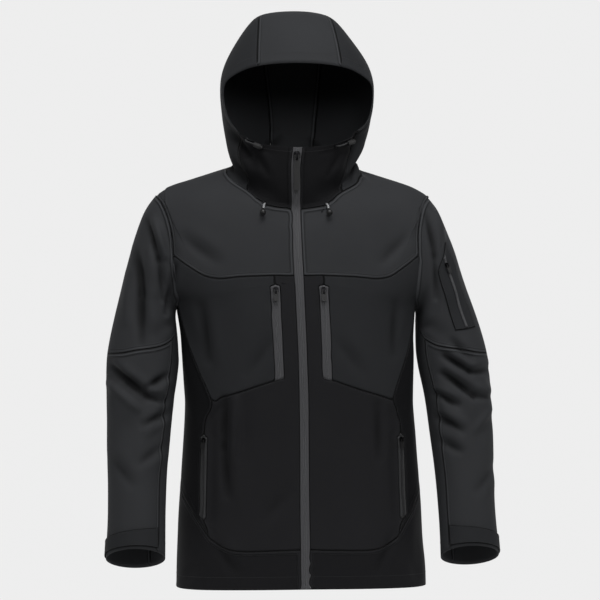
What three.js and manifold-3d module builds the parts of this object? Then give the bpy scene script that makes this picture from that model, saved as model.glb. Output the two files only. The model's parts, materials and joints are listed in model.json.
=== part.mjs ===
// A hooded softshell jacket, filled out as when worn, with nobody in it.
// Millimetres. +Z is up, the front faces -Y, +X is the wearer's left. The origin lies between
// the shoulders at the base of the neck.

import * as THREE from "three";
import { mergeVertices } from "three/addons/utils/BufferGeometryUtils.js";
import Module from "manifold-3d";

const wasm = await Module();
wasm.setup();

// Cloth and seams
const CLOTH = 1.8;
const TAPE = 1.4;
const PATCH_CLOTH = 1.0;
const SEAM_GAP = 0.3;
const LAID_ON_GAP = 0.6;

// Zips: half the width of the band that shows
const FRONT_BAND = 7;
const CHEST_BAND = 7;
const POCKET_BAND = 4;
const CHEST_ZIP_X = 41;

// Hem and seam heights
const HEM_FRONT = -722;
const HEM_BACK = -731;
const YOKE_Z = -186;
const BACK_YOKE_Z = -132;
const BACK_SEAM_Z = -528;
const CHEST_SEAM_Z = -361;
const LOWER_SEAM_Z = -655;

// Each row is a level ring of the body: its height, half its width, its depth in front and
// behind, and the exponent that squares it off.
const BODY_RINGS = rows("z halfWidth front back exponent", [
  [-740, 222, 121, 111, 2.4],
  [-689, 220, 120, 110, 2.4],
  [-618, 217, 118, 108, 2.4],
  [-547, 212, 117, 106, 2.4],
  [-476, 206, 117, 103, 2.4],
  [-405, 202.5, 120, 102, 2.4],
  [-330, 205.5, 123, 106, 2.4],
  [-265, 207, 124, 110, 2.4],
  [-240, 211, 123, 112, 2.4],
  [-215, 229, 122, 114, 2.4],
  [-190, 243, 120, 116, 2.35],
  [-150, 252, 115, 117, 2.35],
  [-100, 253, 106, 114, 2.3],
  [-71, 251, 97, 110, 2.3],
  [-55, 248, 87, 107, 2.25],
  [-42, 241, 79, 105, 2.25],
  [-32, 225, 72, 103, 2.2],
  [-18, 186, 62, 100, 2.2],
  [-5, 148, 53, 97, 2.15],
  [8, 114, 45, 93, 2.1],
  [20, 100, 38, 89, 2.1],
  [35, 88, 30, 84, 2.1],
]);

// The jacket leans: how far its middle lies to one side at each height.
const LEAN = rows("z x", [
  [-740, 2],
  [-560, 0],
  [-420, -1],
  [-320, -4],
  [-230, -8],
  [-140, -12],
  [-30, -14.5],
  [0, -15],
  [39, -11],
  [75, -7],
  [140, -6],
  [285, -11],
]);

// The neck seam on the body: angle round the neck from the front, and its place on the body as
// turn from the front middle and height.
const NECK_LINE = rows("around turn z", [
  [0, 0, -71],
  [22, 7.9, -65],
  [41, 14.6, -50],
  [54, 22, -28],
  [90, 90, 8],
  [120, 128, 20],
  [150, 157, 28],
  [180, 180, 30],
]);

// The armhole seam on the body: angle round the arm from the underarm through the front.
const ARMHOLE = rows("around turn z", [
  [0, 90, -240],
  [25, 74, -233],
  [45, 64, -217],
  [65, 58, -190],
  [90, 55.8, -150],
  [115, 56.5, -110],
  [140, 61, -76],
  [160, 70, -54],
  [180, 90, -42],
  [200, 110, -54],
  [220, 118.5, -76],
  [245, 123.5, -108],
  [270, 125, -145],
  [295, 123, -185],
  [315, 117, -213],
  [335, 106, -232],
  [360, 90, -240],
]);

// Each row is a ring of collar and hood, from the neck seam to the face opening. A ring has a
// near point in front, a far point behind or above, and is widest part of the way between them.
// flat cuts its far end off, and setBack moves its sides back.
const HOOD_RINGS = rows(
  "t nearY nearZ farY farZ halfWidth widestAt nearExponent farExponent flat setBack",
  [
    [0, -97, -71, 82, 30, 112, 0.6, 2, 2, 1, -6],
    [0.12, -101, -55, 90, 58, 107, 0.68, 2, 2, 1, -14],
    [0.25, -105, -38, 103, 100, 117, 0.58, 2.1, 2, 1, -4],
    [0.4, -108, -18, 111, 145, 125, 0.51, 2.2, 2, 1, 5],
    [0.55, -110, 0, 106, 198, 131, 0.48, 2.2, 1.9, 0.97, 20],
    [0.68, -111, 12, 70, 258, 135, 0.47, 2.3, 1.8, 0.9, 35],
    [0.79, -111.5, 20, 8, 286, 136, 0.44, 2.3, 1.7, 0.86, 50],
    [0.87, -112, 26, -42, 270, 136, 0.5, 2.4, 1.8, 0.88, 60],
    [0.94, -112, 31, -77, 229, 134.5, 0.58, 2.5, 2.1, 0.92, 60],
    [1, -112, 35, -100, 181, 132, 0.68, 2.5, 2.5, 1, 55],
  ],
);
const CROWN_SLOPE = 0.15;

// Half the width of the hood's middle panel on each ring
const CROWN_SEAM = rows("t x", [
  [0, 42],
  [0.12, 40],
  [0.25, 42],
  [0.4, 46],
  [0.55, 52],
  [0.79, 61],
  [1, 74],
]);
const COLLAR_SEAM = 48;

// Each row is a ring of the sleeve, from armhole to cuff: its inner and outer point seen from
// the front, the middle and half of its depth, its exponent, and its slope from back to front.
const SLEEVE_RINGS = rows("down innerX innerZ outerX outerZ midY halfDepth exponent slope", [
  [0, 211, -240, 241, -42, 0, 68, 2, 0],
  [0.08, 214.5, -254, 262, -71, 1, 73, 2, 0],
  [0.18, 213, -272, 282, -122, 1, 74, 2.05, 0],
  [0.29, 211.5, -294, 299, -180, -1, 71, 2.1, 0],
  [0.4, 211, -322, 316, -242, -5, 67, 2.1, -0.03],
  [0.5, 213, -352, 334, -308, -11, 63, 2.1, -0.06],
  [0.57, 219, -382, 340, -355, -17, 60, 2.1, -0.1],
  [0.65, 224, -417, 339, -407, -25, 57, 2.1, -0.16],
  [0.75, 229.5, -476, 339, -478, -38, 53, 2.1, -0.25],
  [0.87, 237.5, -562, 337, -566, -57, 48, 2.05, -0.4],
  [1, 239, -672, 341, -672, -78, 46, 2, -0.5],
]);

// The elbow seam round the sleeve
const ELBOW_SEAM = rows("around down", [
  [0, 0.09],
  [30, 0.3],
  [62, 0.42],
  [90, 0.47],
  [127, 0.51],
  [165, 0.52],
  [200, 0.52],
  [240, 0.49],
  [290, 0.4],
  [335, 0.2],
  [360, 0.09],
]);
const FOREARM_SEAM = 38;
const BACK_ARM_SEAM = 300;

// Large soft folds: a line across a surface from one place to another, its depth (a trough is
// negative) and half its width in millimetres.
const SLEEVE_FOLDS = rows("around1 down1 around2 down2 depth width", [
  [150, 0.13, 60, 0.3, -7, 15],
  [125, 0.1, 75, 0.2, -5, 11],
  [150, 0.3, 70, 0.4, -6, 14],
  [160, 0.56, 35, 0.66, -8, 13],
  [140, 0.62, 60, 0.68, 5, 14],
  [130, 0.71, 30, 0.74, -4, 14],
  [300, 0.3, 220, 0.4, -6, 16],
  [330, 0.56, 220, 0.6, -7, 14],
  [310, 0.72, 230, 0.75, -4, 16],
]);
const SLEEVE_SCALE = { around: 1.0, height: 620 };

const BODY_FOLDS = rows("around1 height1 around2 height2 depth width", [
  [48, -430, 46, -600, -5, 13],
  [60, -300, 76, -430, -4, 16],
  [80, -600, 62, -700, -4, 18],
  [150, -300, 178, -360, -5, 26],
  [120, -420, 150, -560, -5, 24],
]);
const BODY_SCALE = { around: 3.0, height: 1 };

const HOOD_FOLDS = rows("around1 height1 around2 height2 depth width", [
  [62, 0.55, 30, 0.75, -5, 11],
  [74, 0.3, 44, 0.45, -5, 12],
  [22, 0.3, 40, 0.22, -4, 12],
  [100, 0.2, 130, 0.3, -5, 16],
]);
const HOOD_SCALE = { around: 2.0, height: 190 };

// A table as a list of records, one for each row.
function rows(names, values) {
  const columns = names.split(" ");
  return values.map((row) => Object.fromEntries(columns.map((name, k) => [name, row[k]])));
}

// Reads one column of a table at a place between its rows, along a curve that never overshoots.
function read(table, column, at) {
  const key = Object.keys(table[0])[0];
  const last = table.length - 1;
  if (at <= table[0][key]) return table[0][column];
  if (at >= table[last][key]) return table[last][column];
  let k = 0;
  while (table[k + 1][key] < at) k++;
  const step = (n) => table[n + 1][key] - table[n][key];
  const rise = (n) => (table[n + 1][column] - table[n][column]) / step(n);
  const slope = (n) => {
    if (n === 0) return rise(0);
    if (n === last) return rise(last - 1);
    const before = rise(n - 1);
    const after = rise(n);
    return before * after <= 0 ? 0 : (2 * before * after) / (before + after);
  };
  const h = step(k);
  const s = (at - table[k][key]) / h;
  const from = table[k][column];
  const to = table[k + 1][column];
  return (
    from * (1 + 2 * s) * (1 - s) ** 2 +
    to * s * s * (3 - 2 * s) +
    slope(k) * h * s * (1 - s) ** 2 -
    slope(k + 1) * h * s * s * (1 - s)
  );
}

const radians = (degrees) => (degrees * Math.PI) / 180;
const power = (value, exponent) => Math.sign(value) * Math.abs(value) ** exponent;
const mix = (a, b, s) => a + (b - a) * s;
const smooth = (s) => THREE.MathUtils.smoothstep(s, 0, 1);
const range = (from, to, steps) =>
  Array.from({ length: steps + 1 }, (_, k) => mix(from, to, k / steps));

// The sum of a table's folds at one place of a surface.
function foldDepth(folds, scale, around, height) {
  let depth = 0;
  for (const fold of folds) {
    const [u1, v1, u2, v2, amount, width] = Object.values(fold);
    const along = new THREE.Vector2((u2 - u1) * scale.around, (v2 - v1) * scale.height);
    const here = new THREE.Vector2((around - u1) * scale.around, (height - v1) * scale.height);
    const share = THREE.MathUtils.clamp(here.dot(along) / along.lengthSq(), 0, 1);
    const away = here.sub(along.multiplyScalar(share)).length();
    depth += amount * Math.exp(-((away / width) ** 2));
  }
  return depth;
}

// A point of the body: turn is 0 at the front middle, 90 at the side and 180 behind.
function bodyBase(turn, z) {
  const halfWidth = read(BODY_RINGS, "halfWidth", z);
  const bend = 2 / read(BODY_RINGS, "exponent", z);
  const c = Math.cos(radians(turn));
  const depth = read(BODY_RINGS, c > 0 ? "front" : "back", z);
  const x = halfWidth * power(Math.sin(radians(turn)), bend);
  return new THREE.Vector3(x, -depth * power(c, bend), z);
}

// The turn at which the body's front has this x at this height.
function turnAt(x, z) {
  const halfWidth = read(BODY_RINGS, "halfWidth", z);
  const share = (x / halfWidth) ** (read(BODY_RINGS, "exponent", z) / 2);
  return (Math.asin(Math.min(1, share)) * 180) / Math.PI;
}

const neckPlace = (around) => [read(NECK_LINE, "turn", around), read(NECK_LINE, "z", around)];
const armholePlace = (around) => {
  const wrapped = (around + 360) % 360;
  return [read(ARMHOLE, "turn", wrapped), read(ARMHOLE, "z", wrapped)];
};

// Moves a ring's point by what brings the first ring's onto a seam. The move dies out with share.
function fromSeam(seam, first, point, share) {
  return point.addScaledVector(seam.sub(first), 1 - smooth(share));
}

// A point of collar or hood: around is 0 in front and 180 behind, t runs from neck to face.
function hoodBase(around, t) {
  if (around < 0) return mirrorPoint(hoodBase(-around, t));
  if (around > 180) return mirrorPoint(hoodBase(360 - around, t));
  const seam = bodyBase(...neckPlace(around));
  return fromSeam(seam, hoodRing(around, 0), hoodRing(around, t), t / HOOD_RINGS[1].t);
}
function hoodRing(around, t) {
  const ring = (column) => read(HOOD_RINGS, column, t);
  const near = new THREE.Vector3(0, ring("nearY"), ring("nearZ"));
  const far = new THREE.Vector3(0, ring("farY"), ring("farZ"));
  const c = Math.cos(radians(around));
  const s = Math.sin(radians(around));
  const widest = ring("widestAt");
  let share;
  let exponent;
  if (c >= 0) {
    exponent = ring("nearExponent");
    share = widest * (1 - c ** (2 / exponent));
  } else {
    exponent = ring("farExponent");
    const flat = ring("flat");
    const reach = (-c) ** (2 / exponent);
    const cut = reach > flat ? flat + (reach - flat) * CROWN_SLOPE : reach;
    share = widest + ((1 - widest) * cut) / (flat + (1 - flat) * CROWN_SLOPE);
  }
  const point = near.clone().lerp(far, share);
  point.x = ring("halfWidth") * s ** (2 / exponent);
  point.y += ring("setBack") * s * s;
  return point;
}

// A point of the sleeve: around is 0 at the underarm, 90 in front, 180 outside; height is 0 at
// the armhole and -1 at the cuff.
function sleeveBase(around, height) {
  const seam = bodyBase(...armholePlace(around));
  const share = -height / SLEEVE_RINGS[1].down;
  return fromSeam(seam, sleeveRing(around, 0), sleeveRing(around, height), share);
}
function sleeveRing(around, height) {
  const ring = (column) => read(SLEEVE_RINGS, column, -height);
  const inner = new THREE.Vector3(ring("innerX"), 0, ring("innerZ"));
  const outer = new THREE.Vector3(ring("outerX"), 0, ring("outerZ"));
  const bend = 2 / ring("exponent");
  const across = power(Math.cos(radians(around)), bend);
  const forward = power(Math.sin(radians(around)), bend) * ring("halfDepth");
  const point = inner.clone().lerp(outer, 0.5 - across / 2);
  point.y = ring("midY") - forward;
  point.z -= ring("slope") * forward;
  return point;
}

// A surface as a pair of functions: its points with the folds in, and its outward normals.
function surface(base, limits, foldAt) {
  const step = 0.4;
  const normal = (u, v) => {
    const low = Math.max(limits.low, v - step * limits.unit);
    const high = Math.min(limits.high, v + step * limits.unit);
    const across = base(u + step, v).sub(base(u - step, v));
    const up = base(u, high).sub(base(u, low));
    return across.cross(up).normalize();
  };
  const point = (u, v) => base(u, v).addScaledVector(normal(u, v), foldAt(u, v));
  return { point, normal };
}

// Folds die out towards the seams that two surfaces share.
const away = (distance) => smooth(Math.max(0, distance));
const body = surface(bodyBase, { low: -740, high: 34, unit: 1 }, (turn, z) =>
  foldDepth(BODY_FOLDS, BODY_SCALE, turn, z),
);
const hood = surface(hoodBase, { low: 0, high: 1, unit: 0.01 }, (around, t) =>
  foldDepth(HOOD_FOLDS, HOOD_SCALE, around, t) * away(t / 0.15),
);
const sleeve = surface(sleeveBase, { low: -1, high: 0, unit: 0.01 }, (around, height) => {
  const wrapped = (around + 360) % 360;
  return foldDepth(SLEEVE_FOLDS, SLEEVE_SCALE, wrapped, -height) * away(-height / 0.08);
});

// Where two surfaces meet in a seam, both take the mean of their normals.
const seamNormals = new Map();
const keyOf = (point) => point.toArray().map((n) => Math.round(n * 50) + 0).join(" ");
function shareNormal(first, firstPlace, second, secondPlace) {
  const normal = first.normal(...firstPlace).add(second.normal(...secondPlace)).normalize();
  seamNormals.set(keyOf(second.point(...secondPlace)), normal);
}

// A patch is a grid of points and normals. place(i, j) gives the surface's two coordinates.
function patch(from, across, up, place) {
  const grid = range(0, across, across).map((i) =>
    range(0, up, up).map((j) => {
      const point = from.point(...place(i, j));
      const normal = seamNormals.get(keyOf(point)) ?? from.normal(...place(i, j));
      return { point, normal };
    }),
  );
  return grid;
}

// Fills the space between four border lines that share their corners.
function between(from, bottom, top, left, right) {
  const across = bottom.length - 1;
  const up = left.length - 1;
  return patch(from, across, up, (i, j) => {
    const u = i / across;
    const v = j / up;
    return [0, 1].map(
      (k) =>
        mix(bottom[i][k], top[i][k], v) +
        mix(left[j][k], right[j][k], u) -
        mix(mix(bottom[0][k], bottom[across][k], u), mix(top[0][k], top[across][k], u), v),
    );
  });
}

const mirrorPoint = (v) => new THREE.Vector3(-v.x, v.y, v.z);
const mirrored = (grid) =>
  [...grid].reverse().map((column) =>
    column.map(({ point, normal }) => ({
      point: mirrorPoint(point),
      normal: mirrorPoint(normal),
    })),
  );

// Turns patches into one closed wall. Each border is pulled in by half of the seam gap. lift is
// how far the wall's outer face stands off the surface.
function wall(grids, thickness = CLOTH, lift = 0) {
  const points = [];
  const normals = [];
  const faces = [];
  const known = new Map();
  const vertex = ({ point, normal }) => {
    const key = keyOf(point);
    if (!known.has(key)) {
      known.set(key, points.length);
      points.push(point.clone());
      normals.push(normal);
    }
    return known.get(key);
  };
  for (const grid of grids) {
    const ids = grid.map((column) => column.map(vertex));
    for (let i = 0; i + 1 < ids.length; i++) {
      for (let j = 0; j + 1 < ids[0].length; j++) {
        faces.push([ids[i][j], ids[i + 1][j], ids[i + 1][j + 1], ids[i][j + 1]]);
      }
    }
  }
  const next = new Map();
  const previous = new Map();
  const edges = new Set();
  for (const face of faces) {
    face.forEach((a, k) => edges.add(`${a} ${face[(k + 1) % 4]}`));
  }
  for (const edge of edges) {
    const [a, b] = edge.split(" ").map(Number);
    if (!edges.has(`${b} ${a}`)) {
      next.set(a, b);
      previous.set(b, a);
    }
  }
  const pulled = points.map((point, a) => {
    if (!next.has(a)) return point;
    const before = point.clone().sub(points[previous.get(a)]).normalize();
    const after = points[next.get(a)].clone().sub(point).normalize();
    const inward = [before, after].map((way) => normals[a].clone().cross(way).normalize());
    const opened = Math.max(0.35, 1 + inward[0].dot(inward[1]));
    const sum = inward[0].add(inward[1]);
    return point.clone().addScaledVector(sum, SEAM_GAP / 2 / opened);
  });
  const positions = [];
  for (const offset of [lift, lift - thickness]) {
    pulled.forEach((point, a) => {
      positions.push(...point.clone().addScaledVector(normals[a], offset).toArray());
    });
  }
  const inner = points.length;
  const triangles = [];
  for (const [a, b, c, d] of faces) {
    triangles.push(a, b, c, a, c, d);
    triangles.push(c + inner, b + inner, a + inner, d + inner, c + inner, a + inner);
  }
  // The two walls at a seam split their edges alike, so that they stay parallel.
  const rank = (a) => points[a].z + points[a].y / 100;
  for (const [a, b] of next) {
    if (rank(a) > rank(b)) triangles.push(b, a, a + inner, b, a + inner, b + inner);
    else triangles.push(b, a, b + inner, a, a + inner, b + inner);
  }
  return new THREE.BufferGeometry()
    .setAttribute("position", new THREE.Float32BufferAttribute(positions, 3))
    .setIndex(triangles);
}

// A line of n equal steps through places of a surface, laid out at the scale of its sizes.
function line(places, steps, scale = 3) {
  const scaled = places.map(([u, v]) => new THREE.Vector2(u * scale, v));
  return new THREE.SplineCurve(scaled).getSpacedPoints(steps).map((p) => [p.x / scale, p.y]);
}

// Joins lines end to end.
const join = (...parts) => parts.reduce((whole, part) => [...whole, ...part.slice(1)]);
const reversed = (part) => [...part].reverse();
const at = (x, z) => [turnAt(x, z), z];

// The angle round the hood at which it has this x, between one on the middle and a wider one.
function aroundHood(x, t, from, to) {
  let low = from;
  let high = to;
  for (let k = 0; k < 40; k++) {
    const middle = (low + high) / 2;
    if (hoodBase(middle, t).x > x) high = middle;
    else low = middle;
  }
  return (low + high) / 2;
}
const zipEdge = (t) => aroundHood(FRONT_BAND, t, 0, COLLAR_SEAM);
const crownSeam = (t) => aroundHood(read(CROWN_SEAM, "x", t), t, 179.9, 92);

// Seams that two panels share have the same points in both. First the neck seam, from the zip
// to the middle of the back.
const NECK_START = zipEdge(0);
const NECK_CROWN = crownSeam(0);
const neckAngles = {
  collar: range(NECK_START, COLLAR_SEAM, 4),
  side: [COLLAR_SEAM, 68, 90, 112, 135, NECK_CROWN],
  crown: range(NECK_CROWN, 180, 2),
};
const allNeckAngles = join(neckAngles.collar, neckAngles.side, neckAngles.crown);
const neckFront = allNeckAngles.filter((angle) => angle <= 90).map(neckPlace);
const neckBack = allNeckAngles.filter((angle) => angle >= 90).map(neckPlace);
for (const angle of [0, ...allNeckAngles]) shareNormal(hood, [angle, 0], body, neckPlace(angle));

// The armhole seam, from the underarm through the front, over the shoulder and down the back
const armAngles = {
  underFront: [0, 12, 25],
  chest: [25, 45, 65, 90],
  yoke: [90, 115, 140, 160, 180],
  backYoke: [180, 200, 225, 248],
  back: [248, 270, 295, 315, 335],
  underBack: [335, 348, 360],
};
const allArmAngles = join(...Object.values(armAngles));
for (const angle of allArmAngles) shareNormal(sleeve, [angle, 0], body, armholePlace(angle));
const armLine = (name) => armAngles[name].map(armholePlace);
const shoulder = line([neckPlace(90), armholePlace(180)], 3);

// The yoke seam in front, and the centre edge along the main zip
const centre = (z) => at(FRONT_BAND, z);
const yokeMiddle = at(CHEST_ZIP_X, YOKE_Z);
const yokeInner = line([centre(YOKE_Z), yokeMiddle], 2);
const yokeOuter = line(
  [yokeMiddle, at(100, -188), at(140, -192), at(158, -188), at(188, -169), armholePlace(90)],
  7,
);
const centreYoke = line([centre(YOKE_Z), neckPlace(NECK_START)], 4);

// The chest zip opens the seam between the front and the chest panel. Rows run upward.
const CHEST_ZIP_TOP = -202;
const chestZipRows = range(CHEST_SEAM_Z, CHEST_ZIP_TOP, 4);
const chestZipEnd = at(CHEST_ZIP_X, CHEST_ZIP_TOP + 2);
const chestSlot = (side) =>
  chestZipRows.map((z, k) => at(CHEST_ZIP_X + side * CHEST_BAND, k ? z : z - 2 * (1 + side)));
const chestEdge = (side) => [...chestSlot(side), chestZipEnd, yokeMiddle];
const centreStrip = [...chestZipRows, CHEST_ZIP_TOP + 4, YOKE_Z].map(centre);
const stripFoot = line([centre(CHEST_SEAM_Z), chestSlot(-1)[0]], 2);
const zipFootMiddle = at(CHEST_ZIP_X, CHEST_SEAM_Z - 2);
const zipFoot = [chestSlot(-1)[0], zipFootMiddle, chestSlot(1)[0]];
const chestCorner = at(155, -402);
const chestSeam = line([chestSlot(1)[0], at(100, -383), chestCorner], 7);
const princess = line([armholePlace(25), at(196, -290), at(178, -345), chestCorner], 3);

// The hand pocket's zip opens the seam between front and side panel. Rows run downward.
const POCKET_TOP = -462;
const POCKET_FOOT = -604;
const pocketX = (z) => mix(171, 175, (POCKET_TOP - z) / (POCKET_TOP - POCKET_FOOT));
const pocketRows = range(POCKET_TOP, POCKET_FOOT, 3);
const pocketSlot = (side) => pocketRows.map((z) => at(pocketX(z) + side * POCKET_BAND, z));
const pocketTop = at(pocketX(POCKET_TOP), POCKET_TOP + 3);
const pocketFoot = at(pocketX(POCKET_FOOT), POCKET_FOOT - 3);
const pocketEntry = line([chestCorner, at(167, -428), pocketTop], 2);
const lowerCorner = at(164, -633);
const pocketEdge = (side) => [...pocketEntry, ...pocketSlot(side), pocketFoot, lowerCorner];

// The curved lower seam, the hem below it and the seam up the side of the back
const lowerFront = line(
  [centre(LOWER_SEAM_Z), at(96, -658), at(128, -656), at(148, -647), lowerCorner],
  11,
);
const SIDE_BACK_TURN = 118;
const sideBackFoot = [SIDE_BACK_TURN, BACK_SEAM_Z];
const lowerSide = line([lowerCorner, at(182, -604), [76, -566], [90, -546], sideBackFoot], 4);
const lowerSeam = join(lowerFront, lowerSide);
const hemPlace = (turn) => [turn, mix(HEM_FRONT, HEM_BACK, smooth(turn / 100))];
const hemTurns = range(centre(HEM_FRONT)[0], SIDE_BACK_TURN, lowerSeam.length - 1);
const hemFront = hemTurns.map(hemPlace);
const centreLower = line([centre(LOWER_SEAM_Z), centre(CHEST_SEAM_Z)], 8);
const centreHem = line([hemFront[0], centre(LOWER_SEAM_Z)], 3);
const hemSide = line([hemFront.at(-1), sideBackFoot], 3);
const sideBack = line([sideBackFoot, [115, -420], [110, -320], armholePlace(335)], 11);

// The back's seams, from its side to its middle
const backYokeSeam = line([armholePlace(248), [150, BACK_YOKE_Z - 4], [180, BACK_YOKE_Z]], 5);
const backSeam = line([sideBackFoot, [150, -520], [180, -516]], 5);
const hemBack = backSeam.map(([turn]) => hemPlace(turn));
const backMiddle = (from, to, steps) => range(from, to, steps).map((z) => [180, z]);

// Panels of the body on the +X side
const frontYoke = between(
  body,
  join(yokeInner, yokeOuter),
  join(neckFront, shoulder),
  centreYoke,
  armLine("yoke"),
);
const chest = between(
  body,
  chestSeam,
  yokeOuter,
  chestEdge(1),
  join(reversed(princess), armLine("chest")),
);
const frontStrip = between(body, stripFoot, yokeInner, centreStrip, chestEdge(-1));
const frontLower = between(
  body,
  lowerFront,
  join(stripFoot, zipFoot, chestSeam),
  centreLower,
  reversed(pocketEdge(-1)),
);
const sidePanel = between(
  body,
  lowerSide,
  join(reversed(armLine("underFront")), reversed(armLine("underBack"))),
  reversed(join(princess, pocketEdge(1))),
  sideBack,
);
const hemPanel = between(body, hemFront, lowerSeam, centreHem, hemSide);
const backYoke = between(
  body,
  backYokeSeam,
  neckBack,
  join(reversed(armLine("backYoke")), reversed(shoulder)),
  backMiddle(BACK_YOKE_Z, neckPlace(180)[1], 6),
);
const backPanel = between(
  body,
  backSeam,
  backYokeSeam,
  join(sideBack, reversed(armLine("back"))),
  backMiddle(backSeam.at(-1)[1], BACK_YOKE_Z, 15),
);
const backHem = between(
  body,
  hemBack,
  backSeam,
  hemSide,
  backMiddle(hemBack.at(-1)[1], backSeam.at(-1)[1], 3),
);

// Collar and hood: their rows are those of the table of rings.
const hoodRows = HOOD_RINGS.map((ring) => ring.t);
const hoodPatch = (angles, edges) =>
  patch(hood, angles.length - 1, hoodRows.length - 1, (i, j) => {
    const t = hoodRows[j];
    const share = (angles[i] - angles[0]) / (angles.at(-1) - angles[0]);
    return [mix(edges.from(t), edges.to(t), share), t];
  });
const always = (angle) => () => angle;
const collar = hoodPatch(neckAngles.collar, { from: zipEdge, to: always(COLLAR_SEAM) });
const hoodSide = hoodPatch(neckAngles.side, { from: always(COLLAR_SEAM), to: crownSeam });
const hoodCrown = hoodPatch(neckAngles.crown, { from: crownSeam, to: always(180) });

// The main zip's band, one half of it, from hem to face opening
const frontEdge = join(centreHem, centreLower, centreStrip, centreYoke);
const frontBand = [
  patch(body, 1, frontEdge.length - 1, (i, j) => {
    const last = j === frontEdge.length - 1;
    if (i === 1) return frontEdge[j];
    return last ? neckPlace(0) : [0, frontEdge[j][1]];
  }),
  hoodPatch([0, NECK_START], { from: always(0), to: zipEdge }),
];

// A zip's band in a slot: its two edges and the points that close its ends
const slotBand = (left, right, first, last) =>
  patch(body, 2, left.length - 1, (i, j) => {
    if (i === 0) return left[j];
    if (i === 2) return right[j];
    if (j === 0) return first;
    if (j === left.length - 1) return last;
    return [mix(left[j][0], right[j][0], 0.5), left[j][1]];
  });
const chestBand = slotBand(chestSlot(-1), chestSlot(1), zipFootMiddle, chestZipEnd);
const pocketBand = slotBand(
  reversed(pocketSlot(-1)),
  reversed(pocketSlot(1)),
  pocketFoot,
  pocketTop,
);

// The sleeve: an upper piece, and below the elbow seam a main piece and an inner one. A turn
// ends just short of 360, where the tables start again.
const FULL_TURN = 359.99;
const elbowPlace = (around) => [around, -read(ELBOW_SEAM, "down", around % 360)];
const elbowAngles = {
  front: range(0, FOREARM_SEAM, 2),
  main: range(FOREARM_SEAM, BACK_ARM_SEAM, 13),
  back: range(BACK_ARM_SEAM, FULL_TURN, 3),
};
const alongSleeve = (around, from, to, steps) =>
  range(from, to, steps).map((height) => [around, height]);
const elbowLine = join(elbowAngles.front, elbowAngles.main, elbowAngles.back).map(elbowPlace);
const UPPER_ROWS = 7;
const FORE_ROWS = 9;
const upperSleeve = between(
  sleeve,
  elbowLine,
  allArmAngles.map((angle) => [Math.min(angle, FULL_TURN), 0]),
  alongSleeve(0, elbowLine[0][1], 0, UPPER_ROWS),
  alongSleeve(FULL_TURN, elbowLine.at(-1)[1], 0, UPPER_ROWS),
);
const sleeveFoot = (angles) => angles.map((angle) => [angle, -1]);
const foreSleeve = between(
  sleeve,
  sleeveFoot(elbowAngles.main),
  elbowAngles.main.map(elbowPlace),
  alongSleeve(FOREARM_SEAM, -1, elbowPlace(FOREARM_SEAM)[1], FORE_ROWS),
  alongSleeve(BACK_ARM_SEAM, -1, elbowPlace(BACK_ARM_SEAM)[1], FORE_ROWS),
);
const innerAngles = join(elbowAngles.back, elbowAngles.front.map((angle) => angle + 360));
const underSleeve = between(
  sleeve,
  sleeveFoot(innerAngles),
  innerAngles.map((angle) => [angle, elbowPlace(angle)[1]]),
  alongSleeve(BACK_ARM_SEAM, -1, elbowPlace(BACK_ARM_SEAM)[1], FORE_ROWS),
  alongSleeve(FOREARM_SEAM + 360, -1, elbowPlace(FOREARM_SEAM)[1], FORE_ROWS),
);

// A place on a grid, given in columns and rows and parts of them
function pointOn(grid, i, j) {
  const column = Math.min(Math.floor(i), grid.length - 2);
  const row = Math.min(Math.floor(j), grid[0].length - 2);
  const blend = (key) => {
    const [low, high] = [row, row + 1].map((r) =>
      grid[column][r][key].clone().lerp(grid[column + 1][r][key], i - column),
    );
    return low.lerp(high, j - row);
  };
  return { point: blend("point"), normal: blend("normal").normalize() };
}

// What is laid on a panel is made from the panel's own grid.
const laidOn = (grid, columns, rowsUp) => columns.map((i) => rowsUp.map((j) => pointOn(grid, i, j)));
const cuffTab = laidOn(foreSleeve, [0.2, ...range(1, 8, 7), 8.4], [0.1, 0.68]);
const SLEEVE_ZIP_COLUMN = 6;
const sleevePocket = laidOn(upperSleeve, [5, 6, 7], [1, 2, 3, 4, 5]);
const bandColumns = [-0.11, 0, 0.11].map((shift) => SLEEVE_ZIP_COLUMN + shift);
const sleeveBand = laidOn(upperSleeve, bandColumns, [1.1, 2, 3, 4, 4.9]);
const SLEEVE_BAND_LIFT = 2.4 * LAID_ON_GAP + PATCH_CLOTH + TAPE;

// The finished part
const MATERIALS = {
  cloth: { color: 0x2c2d2f, roughness: 0.9, metalness: 0 },
  tape: { color: 0x3c3d3f, roughness: 0.8, metalness: 0 },
  metal: { color: 0x1b1b1d, roughness: 0.4, metalness: 0.8 },
  rubber: { color: 0x141416, roughness: 0.6, metalness: 0 },
  cord: { color: 0x8a8b8c, roughness: 0.9, metalness: 0 },
};
const SIDES = { left: 1, right: -1 };
const group = new THREE.Group();
group.name = "softshell_jacket";

function addMesh(name, geometry, material) {
  const mesh = new THREE.Mesh(geometry, new THREE.MeshStandardMaterial(MATERIALS[material]));
  mesh.name = name;
  group.add(mesh);
}

// Cloth leans with the jacket, point by point.
function leaning(geometry) {
  const position = geometry.getAttribute("position");
  for (let k = 0; k < position.count; k++) {
    position.setX(k, position.getX(k) + read(LEAN, "x", position.getZ(k)));
  }
  return geometry;
}

function solidOf(geometry) {
  const bare = geometry.clone();
  bare.deleteAttribute("normal");
  bare.deleteAttribute("uv");
  const merged = mergeVertices(bare, 1e-4);
  const triVerts = new Uint32Array(merged.index.array);
  const vertProperties = merged.getAttribute("position").array;
  return new wasm.Manifold(new wasm.Mesh({ numProp: 3, vertProperties, triVerts }));
}

function geometryOf(solid) {
  const mesh = solid.getMesh();
  return new THREE.BufferGeometry()
    .setAttribute("position", new THREE.Float32BufferAttribute(mesh.vertProperties, 3))
    .setIndex(Array.from(mesh.triVerts));
}

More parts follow.
